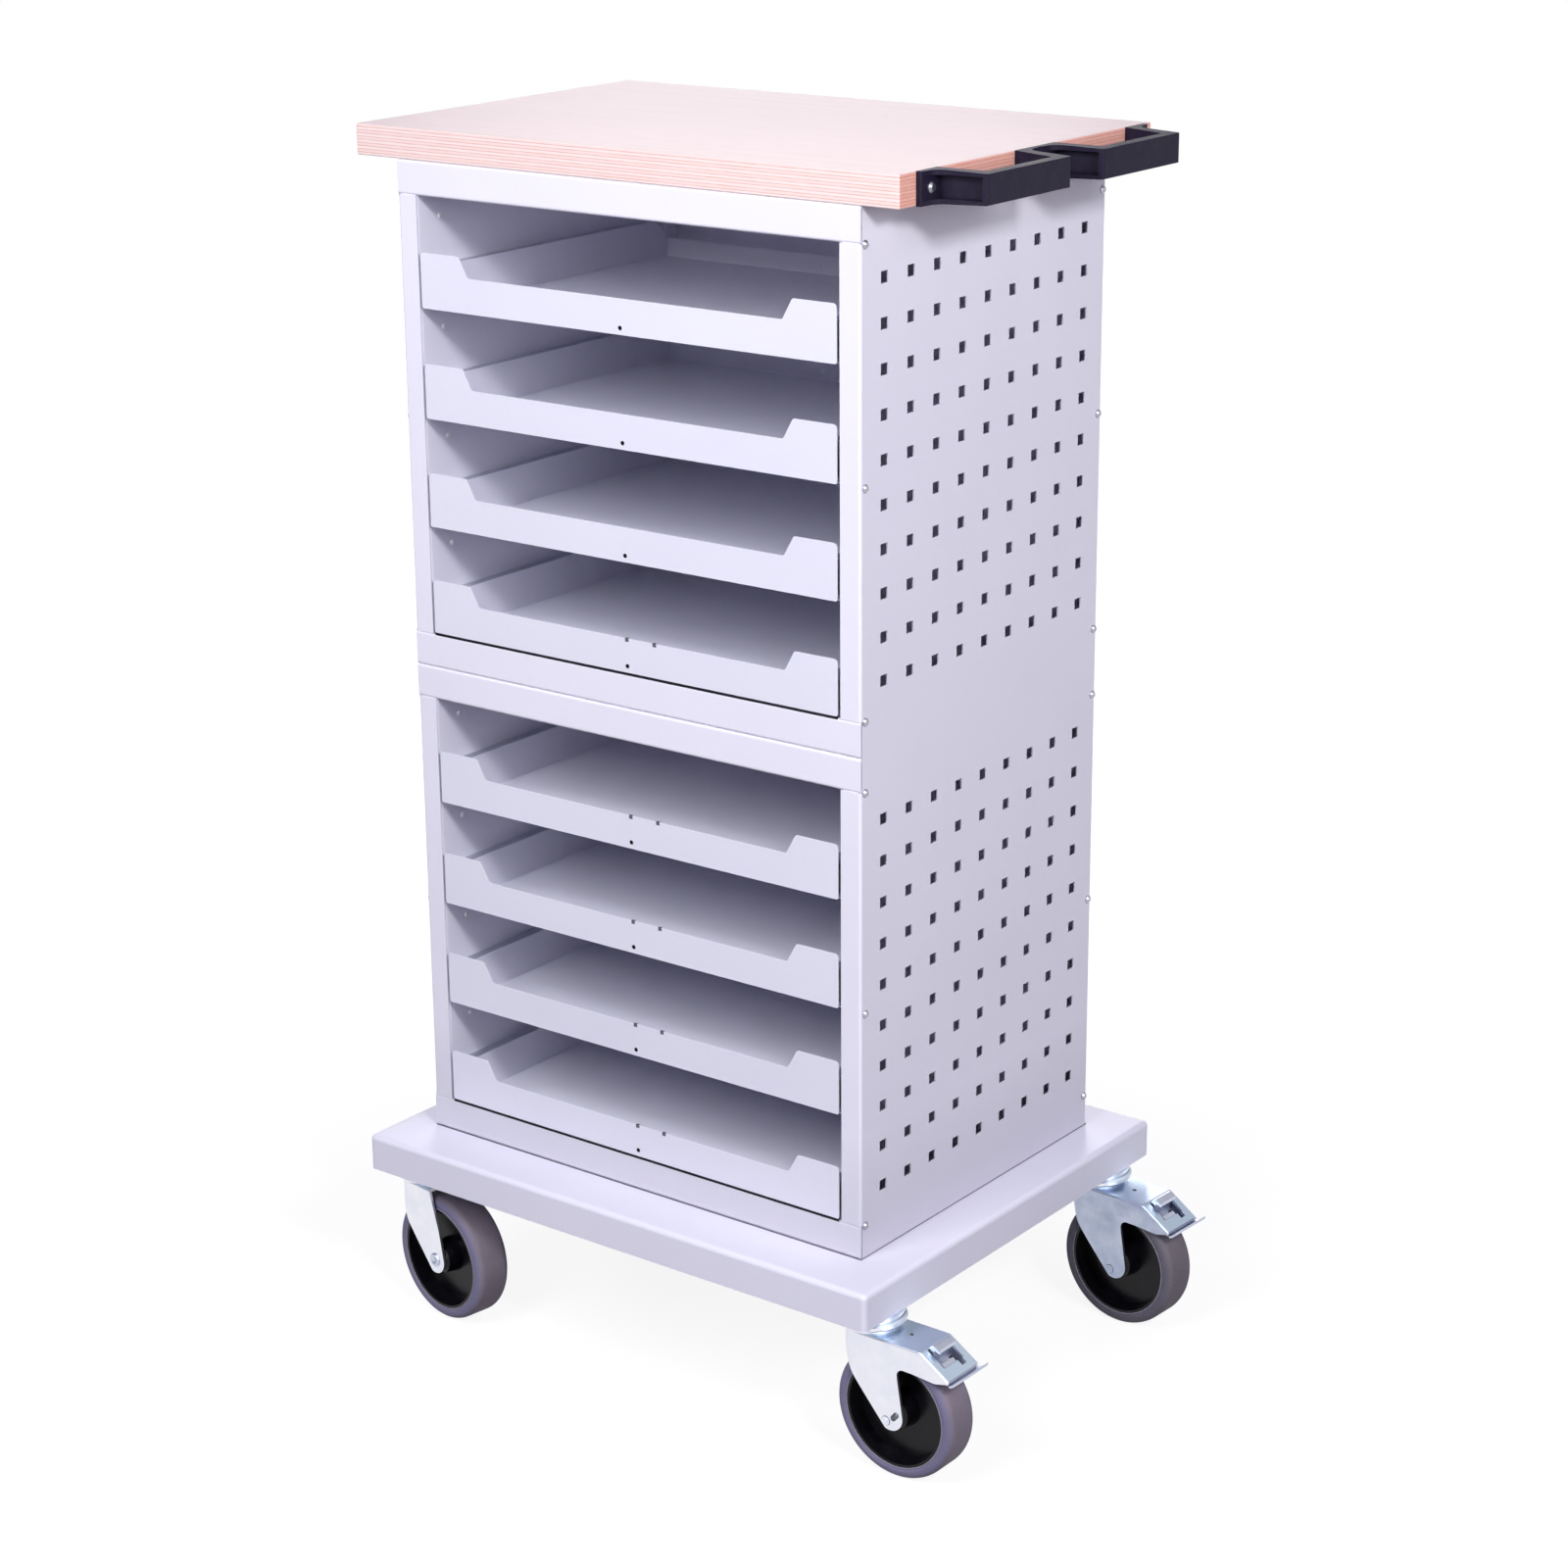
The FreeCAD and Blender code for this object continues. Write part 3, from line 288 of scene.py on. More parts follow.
def plywood(name):
    """Lacquered plywood: a veneered face and striped edges."""
    bench = Bench(name, Metallic=0.0, Specular_IOR_Level=0.4)
    place = bench.place()
    height = (bench.split(place, 2) - board_low.z) * (ply_count / (board_high.z - board_low.z))
    in_ply = height.math("FRACT")
    odd = (height * 0.5).math("FRACT") > 0.5
    facing = bench.facing()
    face_mask = bench.split(facing, 2).math("ABSOLUTE") > 0.7
    end_mask = bench.split(facing, 0).math("ABSOLUTE") > 0.7
    streaks = bench.noise(bench.stretch(place, (0.06, 1.0, 1.0)), 0.010, 6.0, 0.65)
    pores = wear(bench.noise(bench.stretch(place, (0.12, 1.0, 1.0)), 0.0016, 3.0), 0.56, 0.75)
    veneer = bench.node("ShaderNodeValToRGB", {"stops": veneer_stops}, [streaks])
    veneer = bench.blend(pores * 0.20, veneer, (0.70, 0.53, 0.49))
    fibre = bench.noise(bench.stretch(place, (0.2, 0.2, 1.0)), 0.0012, 4.0)
    patchy = bench.noise(bench.stretch(place, (1.0, 1.0, 3.0)), 0.02, 3.0)
    pale_ply = bench.blend(fibre, (0.87, 0.70, 0.68), (0.90, 0.76, 0.75))
    dark_ply = bench.blend(fibre, (0.84, 0.63, 0.60), (0.88, 0.71, 0.69))
    edge = bench.blend(odd, pale_ply, dark_ply)
    off_middle = (in_ply - 0.5).math("ABSOLUTE")
    glue = wear(off_middle, 0.34, 0.46)
    edge = bench.blend(glue * (0.45 + 0.5 * wear(patchy, 0.3, 0.6)), edge, (0.70, 0.36, 0.29))
    end_tint = bench.blend(fibre, (0.96, 0.55, 0.44), (1.0, 0.78, 0.70))
    end_grain = bench.blend(1.0, edge, end_tint, "MULTIPLY")
    edge = bench.blend(end_mask, edge, end_grain)
    bench.feed("Base Color", bench.blend(face_mask, edge, veneer))
    bench.feed("Roughness", 0.42 + 0.12 * streaks + 0.10 * (1 - face_mask))
    bench.raise_by((1 - pores) * 0.5 + (1 - glue) * (1 - face_mask), 0.00012)
    return bench.material


board_finish = plywood("plywood")
print("plies of", round((board_high.z - board_low.z) / ply_count * 1000, 2), "mm")

# %% [markdown]
# ## Moulded plastics
# The handles come from a mould with a spark-eroded surface, so they have an even, fine grain and a low
# sheen. The wheel centres come from a polished mould: nearly black and glossy, with a little dust in their
# dish.

# %% Plastics
def moulded(name, colour, gloss, grain, depth, dusty, sheen):
    """A moulded plastic with an even grain and some dust."""
    bench = Bench(name, Metallic=0.0, Specular_IOR_Level=sheen)
    place = bench.place()
    dust = wear(bench.noise(place, 0.012, 5.0, 0.7), 0.45, 0.85)
    rubbed = bench.noise(place, 0.05, 2.0)
    dull = tuple(value + 0.10 for value in colour)
    bench.feed("Base Color", bench.blend(dust * dusty, colour, dull))
    bench.feed("Roughness", gloss + 0.12 * rubbed + 0.15 * dust * dusty)
    bench.raise_by(bench.noise(place, grain, 2.0), depth)
    return bench.material


handle_plastic = moulded("handle_plastic", (0.012, 0.009, 0.025), 0.46, 0.0007, 0.00004, 0.10, 0.13)
wheel_centre = moulded("wheel_centre", (0.003, 0.003, 0.005), 0.20, 0.004, 0.00002, 0.04, 0.22)
plug_plastic = moulded("plug_plastic", (0.92, 0.92, 0.92), 0.35, 0.002, 0.00002, 0.0, 0.5)
print("plastics:", handle_plastic.name, wheel_centre.name, plug_plastic.name)

# %% [markdown]
# ## Plated and galvanised steel
# Bright zinc is a mirror with a blue cast, clouded by the steel's own texture below it. Metallic is 1 and
# the colour is that of its reflection. A cloudy roughness does most of the work. Galvanised sheet has
# crystals as well, which a Voronoi texture gives.

# %% Metals
def plated(name, colour, tint, gloss, spangle=0.0, above=None):
    """Plated steel with clouding. Spangle above 0 adds crystals; above is a painted reflection, the tone
    given to faces that look up.
    """
    bench = Bench(name, Metallic=1.0)
    place = bench.place()
    cloud = bench.noise(place, 0.02, 4.0, 0.6)
    scuff = bench.noise(bench.stretch(place, (1.0, 1.0, 0.15)), 0.0015, 3.0)
    shade = bench.blend(wear(cloud, 0.3, 0.7), colour, tint)
    if above:
        # Painted reflection: faces that look up take their own tone, for what they mirror above them.
        shade = bench.blend(wear(bench.split(bench.facing(), 2), 0.3, 0.8), shade, above)
    crystal = bench.node("ShaderNodeTexVoronoi", {}, {"Vector": place, "Scale": 120.0}, "Color")
    grey = bench.node("ShaderNodeRGBToBW", {}, [crystal])
    bench.feed("Base Color", bench.blend(spangle * grey, shade, tuple(0.75 * value for value in colour)))
    bench.feed("Roughness", gloss + 0.16 * cloud + 0.06 * scuff + 0.12 * spangle * grey)
    bench.raise_by(scuff, 0.00002)
    return bench.material


# Zinc faces that look up are painted a darker blue, a painted reflection.
zinc = plated("zinc", (0.85, 0.85, 0.90), (0.75, 0.77, 0.86), 0.22, 0.0, (0.60, 0.71, 0.85))
slide_steel = plated("slide_steel", (0.66, 0.68, 0.74), (0.58, 0.60, 0.66), 0.30)
galvanised = plated("galvanised", (0.62, 0.64, 0.68), (0.55, 0.57, 0.61), 0.38, 0.6)
dark_screw = plated("dark_screw", (0.30, 0.30, 0.34), (0.22, 0.22, 0.26), 0.32)
# Painted shade: a darker copy of zinc for the brake pedals, whose tabs show shaded faces; the axle ends take
# it too.
pedal_zinc_painted_shade = plated("pedal_zinc_painted_shade", (0.62, 0.65, 0.76), (0.52, 0.56, 0.69), 0.22)
# Painted shade: a darker copy of zinc for the rear right fork, which stands in the cabinet's shadow and
# mirrors the shaded floor.
zinc_painted_shade = plated("zinc_painted_shade", (0.52, 0.56, 0.68), (0.34, 0.39, 0.53), 0.24, 0.0, (0.52, 0.62, 0.76))
screw_zinc = plated("screw_zinc", (0.46, 0.46, 0.52), (0.36, 0.36, 0.42), 0.20)
print("metals:", zinc.name, slide_steel.name, galvanised.name, dark_screw.name)

# %% [markdown]
# ## Tyres
# The tread has picked up brown dust and is dull. The walls stay blue-grey, with fine rings left by the
# mould. Both depend on how far a point is from the axle, which comes from its place, the wheel's centre and
# the axle's direction, so each wheel has a material of its own.

# %% Tyre rubber
usual_tones = ((0.160, 0.152, 0.250), (0.218, 0.206, 0.330), (0.179, 0.153, 0.192), (0.262, 0.223, 0.274))
rear_right_tones = ((0.095, 0.088, 0.118), (0.135, 0.125, 0.165), (0.125, 0.110, 0.132), (0.185, 0.164, 0.195))
ring_rate = 1400.0  # radians of the mould's rings in a metre
wheel_joints = {joint["child"]: joint for joint in frame["joints"] if joint["child"].startswith("wheel_")}


def rubber(corner):
    """Grey tyre rubber for one wheel."""
    joint = wheel_joints["wheel_" + corner]
    centre, axle = joint["pos_m"], joint["axis"]
    low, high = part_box("tyre_" + corner)
    radius = (high.z - low.z) / 2
    bench = Bench("tyre_" + corner, Metallic=0.0, Specular_IOR_Level=0.35)
    place = bench.place()
    arm = bench.vector("SUBTRACT", place, centre)
    along = bench.vector("DOT_PRODUCT", arm, axle, "Value")
    length = bench.vector("LENGTH", arm, output="Value")
    reach = (length * length - along * along).math("SQRT")
    tread = wear(reach, radius - 0.0035, radius - 0.0008)
    smudge = bench.noise(place, 0.018, 5.0, 0.65)
    speck = wear(bench.noise(place, 0.0025, 3.0, 0.7), 0.55, 0.75)
    # The rear right tyre takes darker tones than the others.
    wall_dark, wall_pale, sole_dark, sole_pale = rear_right_tones if corner == "rear_right" else usual_tones
    wall = bench.blend(smudge, wall_dark, wall_pale)
    sole = bench.blend(smudge, sole_dark, sole_pale)
    colour = bench.blend(tread, wall, sole)
    bench.feed("Base Color", bench.blend(speck * 0.3, colour, (0.30, 0.28, 0.28)))
    bench.feed("Roughness", 0.55 + 0.15 * tread + 0.12 * smudge)
    rings = (reach * ring_rate).math("SINE")
    bench.raise_by(rings * 0.15 * (1 - tread) + 0.5 * speck + 0.4 * bench.noise(place, 0.0012), 0.00012)
    return bench.material


tyre_rubber = {corner[6:]: rubber(corner[6:]) for corner in wheel_joints}
print("tyres:", sorted(tyre_rubber))

# %% [markdown]
# ## Which finish goes where
# Each node of the construction model has one material slot. A list of name beginnings and their finishes
# covers all of them, and the loop stops the script if it ever meets a node that has none.

# %% Give every node its finish
finishes = [
    ("worktop", board_finish), ("front_handle", handle_plastic), ("rear_handle", handle_plastic),
    ("handle_screws", dark_screw), ("platform", platform_paint), ("caster_channels", galvanised),
    ("caster_races", zinc), ("joining_bolts", zinc), ("panel_screws", screw_zinc),
    ("wall_plugs", plug_plastic),
    ("tray_", tray_paint), ("inner_rails_", slide_steel), ("middle_rails_", slide_steel),
    ("lower_outer_rails", slide_steel), ("upper_outer_rails", slide_steel),
    # The rear right fork takes the darker zinc, a painted shade.
    ("fork_rear_right", zinc_painted_shade), ("fork_", zinc), ("brake_pedal_", pedal_zinc_painted_shade), ("rim_", wheel_centre),
    ("lower_", housing_paint), ("upper_", housing_paint),
]


def finish_for(name):
    """The finish of a node, by the beginning of its name."""
    if name.startswith("tyre_"):
        return tyre_rubber[name[5:]]
    return next(material for start, material in finishes if name.startswith(start))


for name, node in nodes.items():
    node.data.materials.clear()
    node.data.materials.append(finish_for(name))
print("finished nodes:", len(nodes))

# %% [markdown]
# ## Small round fittings
# A few things are too small for the construction model but catch the eye. Most of them are round, so one
# helper turns a profile about an axis, as a lathe would, and another gives the profile of a thin ring. A
# mesh keeps the exact profile, where a scaled cylinder would only stand in for it.

# %% Turned pieces
def turned(name, body, centre, axis, profile, finish, steps=32, loop=False):
    """A round piece: (distance along the axis, radius) points swept about an axis through a centre."""
    turn = Vector((0.0, 0.0, 1.0)).rotation_difference(Vector(axis)).to_matrix()
    angles = [2 * math.pi * step / steps for step in range(steps)]
    mesh = bmesh.new()
    rings = []
    for along, radius in profile:
        spots = [Vector((radius * math.cos(angle), radius * math.sin(angle), along)) for angle in angles]
        rings.append([mesh.verts.new(Vector(centre) + turn @ spot) for spot in spots])
    pairs = list(zip(rings, rings[1:] + rings[:1])) if loop else list(zip(rings, rings[1:]))
    for near, far in pairs:
        for step in range(steps):
            after = (step + 1) % steps
            mesh.faces.new((near[step], near[after], far[after], far[step]))
    if not loop:
        mesh.faces.new(rings[0][::-1])
        mesh.faces.new(rings[-1])
    bmesh.ops.recalc_face_normals(mesh, faces=mesh.faces)
    return finished_piece(name, body, mesh, finish)


def finished_piece(name, body, mesh, finish):
    """Turns a bmesh into a smooth-shaded piece that rides on a body."""
    data = bpy.data.meshes.new(name)
    mesh.to_mesh(data)
    mesh.free()
    data.materials.append(finish)
    data.shade_smooth()
    piece = bpy.data.objects.new(name, data)
    bpy.context.collection.objects.link(piece)
    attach(piece, body)
    return piece


def ring_profile(along, radius, half_width, half_height):
    """The six-sided section of a thin ring, to be turned as a loop."""
    turns = [math.radians(60 * step) for step in range(6)]
    return [(along + half_width * math.cos(turn), radius + half_height * math.sin(turn)) for turn in turns]


print("a ring's section has", len(ring_profile(0.0, 1.0, 0.1, 0.1)), "points")

# %% [markdown]
# ## Pins and beads
# Each tray front has a dark plastic pin in its hole, and a bead runs round each tyre where it meets its
# dish, paler than the tyre: a painted highlight of the rounded edge. The pins ride on the trays and the
# beads on the wheels, so they move with them.

# %% Pins in the tray fronts, beads on the tyres
pin_plastic = moulded("pin_plastic", (0.004, 0.003, 0.006), 0.45, 0.0006, 0.00002, 0.03, 0.1)
# Painted highlight: the bead is paler than the tyre, for its rounded edge catching the light.
bead_painted_highlight = moulded("bead_painted_highlight", (0.30, 0.28, 0.34), 0.50, 0.0010, 0.00003, 0.3, 0.3)
pin = [(-0.0003, 0.0017), (-0.0002, 0.0020), (0.0, 0.0020),
       (0.0, 0.00152), (0.0022, 0.00152), (0.0024, 0.0012)]
pin_height = 0.006
bead_inset = 0.011
bead_half = 0.01785  # from the middle of the wheel
tray_count = 8
for number in range(1, tray_count + 1):
    low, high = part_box(f"tray_{number}")
    hole = (0.0, low.y, low.z + pin_height)
    turned(f"front_pin_{number}", f"tray_{number}", hole, (0, 1, 0), pin, pin_plastic, 20)
for wheel, joint in wheel_joints.items():
    corner = wheel[6:]
    low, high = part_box("tyre_" + corner)
    radius = (high.z - low.z) / 2 - bead_inset
    for side, along in (("outer", -bead_half), ("inner", bead_half)):
        bead = ring_profile(along, radius, 0.0005, 0.0006)
        turned(f"bead_{corner}_{side}", wheel, joint["pos_m"], joint["axis"], bead, bead_painted_highlight, 72, True)
print("pins and beads:", tray_count, 2 * len(wheel_joints))

# %% [markdown]
# ## Marks on the fork feet
# At the foot of each braked fork the rivet sits in a dark ring, painted shade for the groove round it, and
# beside it a slanted slot shows dark, painted shade for a recess.
# The forks without a brake show a dished axle end on both legs. Ring and axle end are turned; the slot is a
# thin rounded plate set on the leg. Where they go follows from the wheel's centre and the direction in
# which the wheel trails.

# %% Where a foot is
swivels = {joint["child"][7:]: joint for joint in frame["joints"] if joint["child"].startswith("swivel_")}


def foot_frame(corner):
    """The wheel's centre, the way out of the leg on the camera's side, and the way the wheel trails."""
    centre = Vector(wheel_joints["wheel_" + corner]["pos_m"])
    trail = centre - Vector(swivels[corner]["pos_m"])
    trail.z = 0.0
    trail.normalize()
    return centre, Vector((trail.y, -trail.x, 0.0)), trail


for corner in swivels:
    print("foot of the", corner, "fork at", [round(value, 4) for value in foot_frame(corner)[0]])

# %% [markdown]
# ## A thin rounded plate
# The slot's outline is two half circles joined by straight sides. Each end is walked round in small steps,
# once at the leg and once a hair further out, and the two outlines are joined to a closed plate.

# %% The slot's plate
mark_depth = 0.0003


def foot_slot(name, body, centre, outward, trail, length, width, finish):
    """A thin rounded plate that leans towards the trailing side."""
    lean = (trail + Vector((0.0, 0.0, 1.2))).normalized()
    across = outward.cross(lean).normalized()
    mesh = bmesh.new()
    steps = 8
    rims = []
    for depth in (0.0, mark_depth):
        rim = []
        for end, start in ((1, -0.5), (-1, 0.5)):
            for step in range(steps + 1):
                angle = math.pi * (step / steps + start)
                offset = lean * (end * (length - width) / 2 + math.cos(angle) * width / 2)
                offset += across * math.sin(angle) * width / 2
                rim.append(mesh.verts.new(centre + outward * depth + offset))
        rims.append(rim)
    count = len(rims[0])
    for index in range(count):
        after = (index + 1) % count
        mesh.faces.new((rims[0][index], rims[0][after], rims[1][after], rims[1][index]))
    mesh.faces.new(rims[0][::-1])
    mesh.faces.new(rims[1])
    bmesh.ops.recalc_face_normals(mesh, faces=mesh.faces)
    return finished_piece(name, body, mesh, finish)


print("marks stand", mark_depth * 1000, "mm off the legs")

# %% [markdown]
# ## Setting the marks
# Places are given from the wheel's centre: outwards to the face of the leg, then along the trail and up or
# down. Everything rides on its swivel, so it turns with the fork.

# %% Rings, slot and axle ends
leg_outside = 0.02375  # from the middle of the wheel
rivet_reach, rivet_height = -0.0043, -0.0055
# Painted shade: the dark ring and the dark slot stand for the shade in a groove and in a recess.
painted_foot_shade = plated("painted_foot_shade", (0.20, 0.20, 0.25), (0.12, 0.12, 0.16), 0.35)
for corner in ("front_right", "rear_right"):
    centre, outward, trail = foot_frame(corner)
    rivet = centre + outward * leg_outside + trail * rivet_reach + Vector((0.0, 0.0, rivet_height))
    ring = ring_profile(0.0, 0.0044, mark_depth, 0.00025)
    turned("foot_ring_" + corner, "swivel_" + corner, rivet, outward, ring, painted_foot_shade, 40, True)
axle_end = [(0.0, 0.0066), (0.0010, 0.0066), (0.0016, 0.0058), (0.0016, 0.0036), (0.0009, 0.0031)]
for corner in ("front_left", "rear_left"):
    centre, outward, trail = foot_frame(corner)
    for side, way in (("outer", outward), ("inner", -outward)):
        face = centre + way * leg_outside
        # The axle ends take the pedals' darker zinc, a painted shade.
        turned(f"axle_end_{corner}_{side}", "swivel_" + corner, face, way, axle_end, pedal_zinc_painted_shade)
centre, outward, trail = foot_frame("front_right")
slot_middle = centre + outward * leg_outside + trail * 0.0052 + Vector((0.0, 0.0, 0.0010))
slot_length, slot_width = 0.0105, 0.0055
foot_slot("painted_shade_slot_front_right", "swivel_front_right", slot_middle, outward, trail,
          slot_length, slot_width, painted_foot_shade)
print("slot in the front right fork at", [round(value, 4) for value in slot_middle])

# %% [markdown]
# ## Clips on the tray lips
# Five trays have two little spring clips on the edge of their lowered lip, made from flat wire that hugs
# the sheet. Each is a bent strip, so its outline from the side is a hook, and the helper gives that outline
# a width.

# %% Lip clips
def strip(name, body, outline, left, right, finish):
    """A bent strip: a closed outline in Y and Z, drawn out from left to right along X."""
    mesh = bmesh.new()
    sides = [[mesh.verts.new((x, y, z)) for y, z in outline] for x in (left, right)]
    count = len(outline)
    for index in range(count):
        after = (index + 1) % count
        mesh.faces.new((sides[0][index], sides[0][after], sides[1][after], sides[1][index]))
    mesh.faces.new(sides[0])
    mesh.faces.new(sides[1][::-1])
    bmesh.ops.recalc_face_normals(mesh, faces=mesh.faces)
    bmesh.ops.bevel(mesh, geom=mesh.edges[:], offset=0.0001, segments=1, affect="EDGES")
    return finished_piece(name, body, mesh, finish)


clip_height = 0.0315
clip_half = 0.0019
clip_front, clip_back, clip_top = 0.0030, 0.0018, 0.0003
wire = 0.0004
sheet_back = 0.0015
first_clipped = 4
clip_places = (0.0, 0.031)
clip_steel = plated("clip_steel", (0.16, 0.16, 0.19), (0.10, 0.10, 0.13), 0.35)
for number in range(first_clipped, tray_count + 1):
    low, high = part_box(f"tray_{number}")
    front, back, lip = low.y - wire, low.y + sheet_back, low.z + clip_height
    hook = [(front, lip - clip_front), (front, lip + clip_top), (back, lip + clip_top),
            (back, lip - clip_back), (back - wire, lip - clip_back), (back - wire, lip),
            (front + wire, lip), (front + wire, lip - clip_front)]
    for index, x in enumerate(clip_places):
        strip(f"lip_clip_{number}_{index}", f"tray_{number}", hook, x - clip_half, x + clip_half, clip_steel)
print("lip clips:", (tray_count + 1 - first_clipped) * len(clip_places))

# %% [markdown]
# ## The joint at the foot of the housing
# Where the lower housing stands on the platform a thin dark line shows, the shade in that joint. It is
# built as painted shade: a dark rectangular frame a little under a millimetre high, whose outline comes
# from the boxes of the lower pieces.

# %% Foot shade line
def frame_piece(name, body, low, high, width, finish):
    """A rectangular frame between two opposite corners."""
    mesh = bmesh.new()
    rims = []
    for z, inset in ((low.z, 0.0), (high.z, 0.0), (high.z, width), (low.z, width)):
        left, right, near, far = low.x + inset, high.x - inset, low.y + inset, high.y - inset
        corners = ((left, near), (right, near), (right, far), (left, far))
        rims.append([mesh.verts.new((x, y, z)) for x, y in corners])
    for rim, beside in zip(rims, rims[1:] + rims[:1]):
        for index in range(4):
            after = (index + 1) % 4
            mesh.faces.new((rim[index], rim[after], beside[after], beside[index]))
    bmesh.ops.recalc_face_normals(mesh, faces=mesh.faces)
    bmesh.ops.bevel(mesh, geom=mesh.edges[:], offset=0.0001, segments=1, affect="EDGES")
    return finished_piece(name, body, mesh, finish)


# Painted shade: a dark frame stands for the shadow in the joint.
shade_line_proud, shade_line_height, shade_line_width = 0.0003, 0.0009, 0.0009
shade_line_dark = moulded("shade_line_dark", (0.16, 0.15, 0.20), 0.60, 0.0010, 0.00002, 0.1, 0.2)
lower_boxes = [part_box(name) for name in nodes if name.startswith("lower_")]
platform_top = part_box("platform")[1].z
shade_line_low = Vector((min(low.x for low, high in lower_boxes) - shade_line_proud,
                   min(low.y for low, high in lower_boxes) - shade_line_proud, platform_top))
shade_line_high = Vector((max(high.x for low, high in lower_boxes) + shade_line_proud,
                    max(high.y for low, high in lower_boxes) + shade_line_proud, platform_top + shade_line_height))
frame_piece("foot_shade_line", "cabinet", shade_line_low, shade_line_high, shade_line_width, shade_line_dark)
print("foot shade line:", [round(value, 4) for value in (*shade_line_low, *shade_line_high)])

# %% [markdown]
# ## The dark line under the lowest trays
# Under the lowest tray of each housing a dark gap runs along the rail. The gap in the construction model is
# narrower, so a dark strip, painted shade, lies along the rail's top edge, just below the tray, which passes
# over it.

# %% Rail lines
# Painted shade: the dark strip stands for the shadow in the gap under the tray.
rail_line_shade = moulded("rail_line_shade", (0.012, 0.011, 0.018), 0.60, 0.0010, 0.00002, 0.05, 0.1)
line_front, line_back = -0.0003, 0.0005
line_low, line_high = -0.0024, -0.0002
for number, decks in ((4, "upper_decks"), (8, "lower_decks")):
    low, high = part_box(f"tray_{number}")
    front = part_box(decks)[0].y
    section = [(front + line_front, low.z + line_low), (front + line_front, low.z + line_high),
               (front + line_back, low.z + line_high), (front + line_back, low.z + line_low)]
    strip(f"rail_line_{number}", "cabinet", section, low.x, high.x, rail_line_shade)
print("rail lines under trays 4 and 8, rails at", round(front, 4), "tray front at", round(low.y, 4))

# %% [markdown]
# ## Floor
# The floor is a plain white sheet. To the camera, and in reflections, its own light makes it pure white,
# while the object's shadow stays faintly visible near the wheels. Towards its rim only its own light is
# left, so it meets the white room without a line. To the light that bounces it is dark, so it doesn't lift
# the shadows.

# %% Floor
def floor_material():
    """A white floor that shows as white and keeps a soft shadow."""
    bench = Bench("floor", Metallic=0.0, Roughness=0.9, Specular_IOR_Level=0.0)
    place = bench.place()
    speckle = bench.noise(place, 0.4, 2.0)
    seen = bench.ray("Camera") + bench.ray("Glossy") + bench.ray("Transmission")
    white = bench.blend(speckle, (0.85, 0.85, 0.86), (0.87, 0.87, 0.88))
    bench.feed("Base Color", bench.blend(seen, (0.13, 0.125, 0.145), white))
    outward = wear(bench.vector("LENGTH", place, output="Value"), 0.5, 1.1)
    glow = bench.node("ShaderNodeEmission", {}, {"Color": (1, 1, 1, 1), "Strength": 1.08})
    output = bench.tree.nodes["Material Output"]
    surface = Signal(bench, bench.shader.outputs[0])
    mixed = bench.node("ShaderNodeMixShader", {}, [seen * (0.82 + 0.18 * outward), surface, glow])
    bench.tree.links.new(mixed.socket, output.inputs["Surface"])
    return bench.material


floor_half = 6.0
floor_mesh = bpy.data.meshes.new("floor")
floor_corners = [(x * floor_half, y * floor_half, 0) for x, y in ((-1, -1), (1, -1), (1, 1), (-1, 1))]
floor_mesh.from_pydata(floor_corners, [], [(0, 1, 2, 3)])
floor_mesh.materials.append(floor_material())
floor = bpy.data.objects.new("floor", floor_mesh)
bpy.context.collection.objects.link(floor)
floor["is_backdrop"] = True
print("floor is", 2 * floor_half, "m wide")

# %% [markdown]
# ## The room
# The room is almost dark to the light that bounces, with a violet cast, which leaves the shadows deep. To
# the camera it is white. Metal mirrors it as white on the right and grey on the left, which shapes the
# forks. A world has a node tree too, so a bench serves it as well; only its last shader has another name.

# %% Room
class RoomBench(Bench):
    """The bench of a world instead of a material."""

    def __init__(self, world):
        self.tree = world.node_tree
        self.shader = self.tree.nodes["Background"]


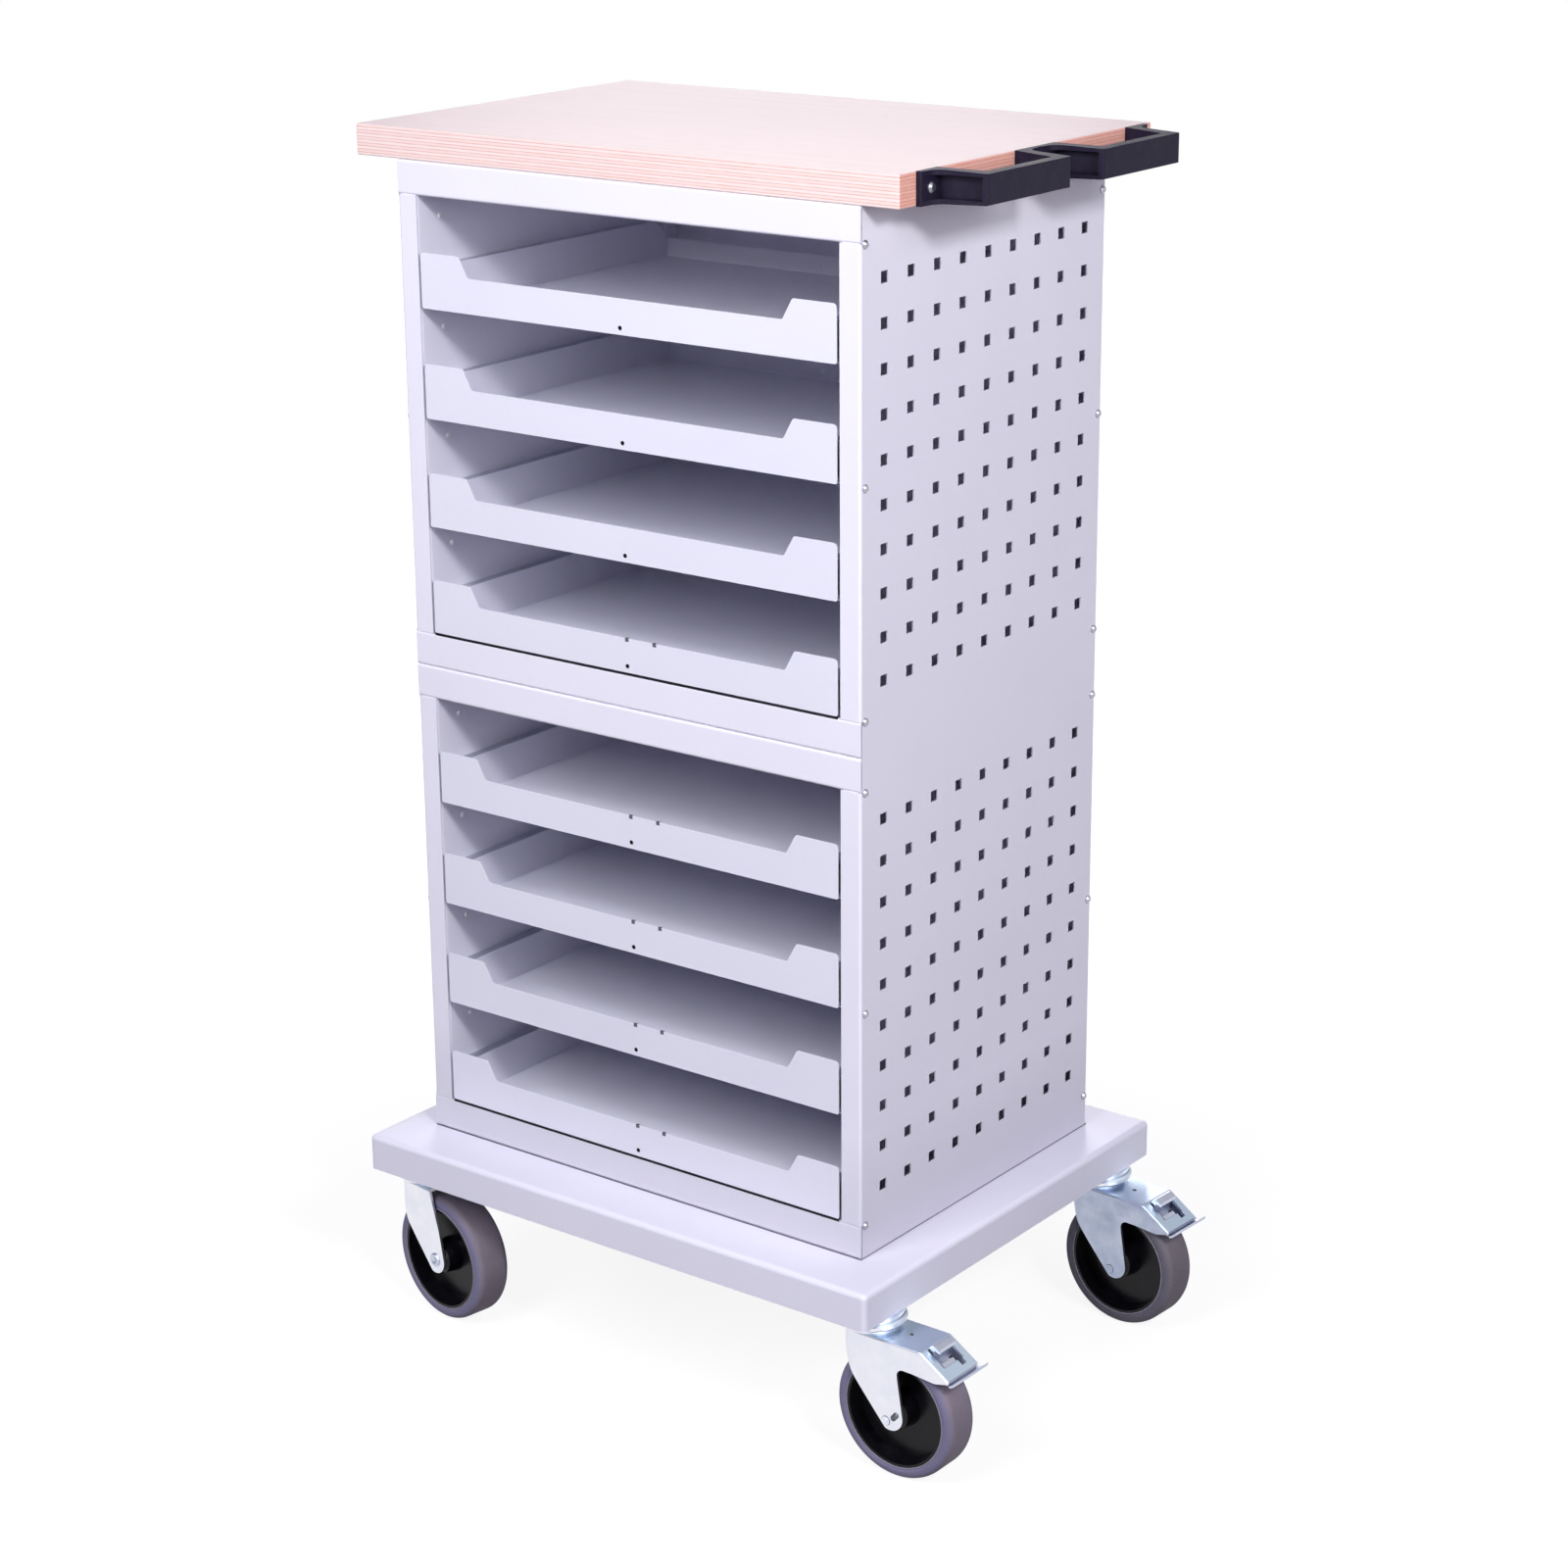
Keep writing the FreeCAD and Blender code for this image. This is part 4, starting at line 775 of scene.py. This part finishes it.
world = bpy.data.worlds.new("studio")
world.use_nodes = True
bpy.context.scene.world = world
room = RoomBench(world)
to_right = wear(room.split(room.node("ShaderNodeTexCoord", output="Generated"), 0), -0.5, 0.7, 0.30, 1.0)
mirrored = room.ray("Glossy") * to_right
white_share = mirrored.most(room.ray("Camera").most(room.ray("Transmission")))
room.feed("Color", room.blend(white_share, (0.040, 0.033, 0.100), (1.0, 1.0, 1.0)))
print("room nodes:", len(room.tree.nodes))

# %% [markdown]
# ## Lamps
# The light is that of a photo studio. A soft box stands in front and above, so the trays are bright at
# their lips and fade towards the back, the low ones sooner than the high ones, and a low one lifts the
# platform. A small lamp on the right throws the handles' shadow on the side panel, and a large one beside
# it softens that. Two lamps behind light the worktop and the back.

# %% Lamps
def lamp(name, place, size, power, green):
    """A square soft box turned towards the cabinet. Green a little under 1 makes its white rosy."""
    data = bpy.data.lights.new(name, "AREA")
    data.shape = "SQUARE"
    data.size = size
    data.energy = power
    data.color = (1.0, green, 1.0)
    made = bpy.data.objects.new(name, data)
    made.location = place
    made.rotation_euler = (cabinet_middle - Vector(place)).to_track_quat("-Z", "Y").to_euler()
    bpy.context.collection.objects.link(made)
    return made


cabinet_middle = Vector((0.0, 0.0, 0.75))
lamps = [
    lamp("front", (0.0, -2.2, 2.15), 1.2, 51.0, 0.995),
    lamp("low_front", (0.7, -3.2, 0.6), 0.8, 8.0, 0.995),
    lamp("right", (2.35, -1.37, 2.14), 0.35, 36.0, 0.985),
    lamp("right_fill", (3.0, -0.5, 1.9), 1.5, 34.0, 0.985),
    lamp("rear", (-1.9, 2.5, 1.8), 1.4, 22.0, 0.99),
    lamp("low_rear", (-1.7, 2.7, 0.7), 1.2, 26.0, 0.99),
]
print("lamps:", [made.name for made in lamps])

# %% [markdown]
# ## Sizes, and the end
# The box round everything visible is measured and printed. It should agree with the construction model's
# to a few millimetres, because the finish adds only thin trim.

# %% Sizes, and the end
low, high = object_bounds()
print("visual size:", [round(v, 3) for v in high - low])
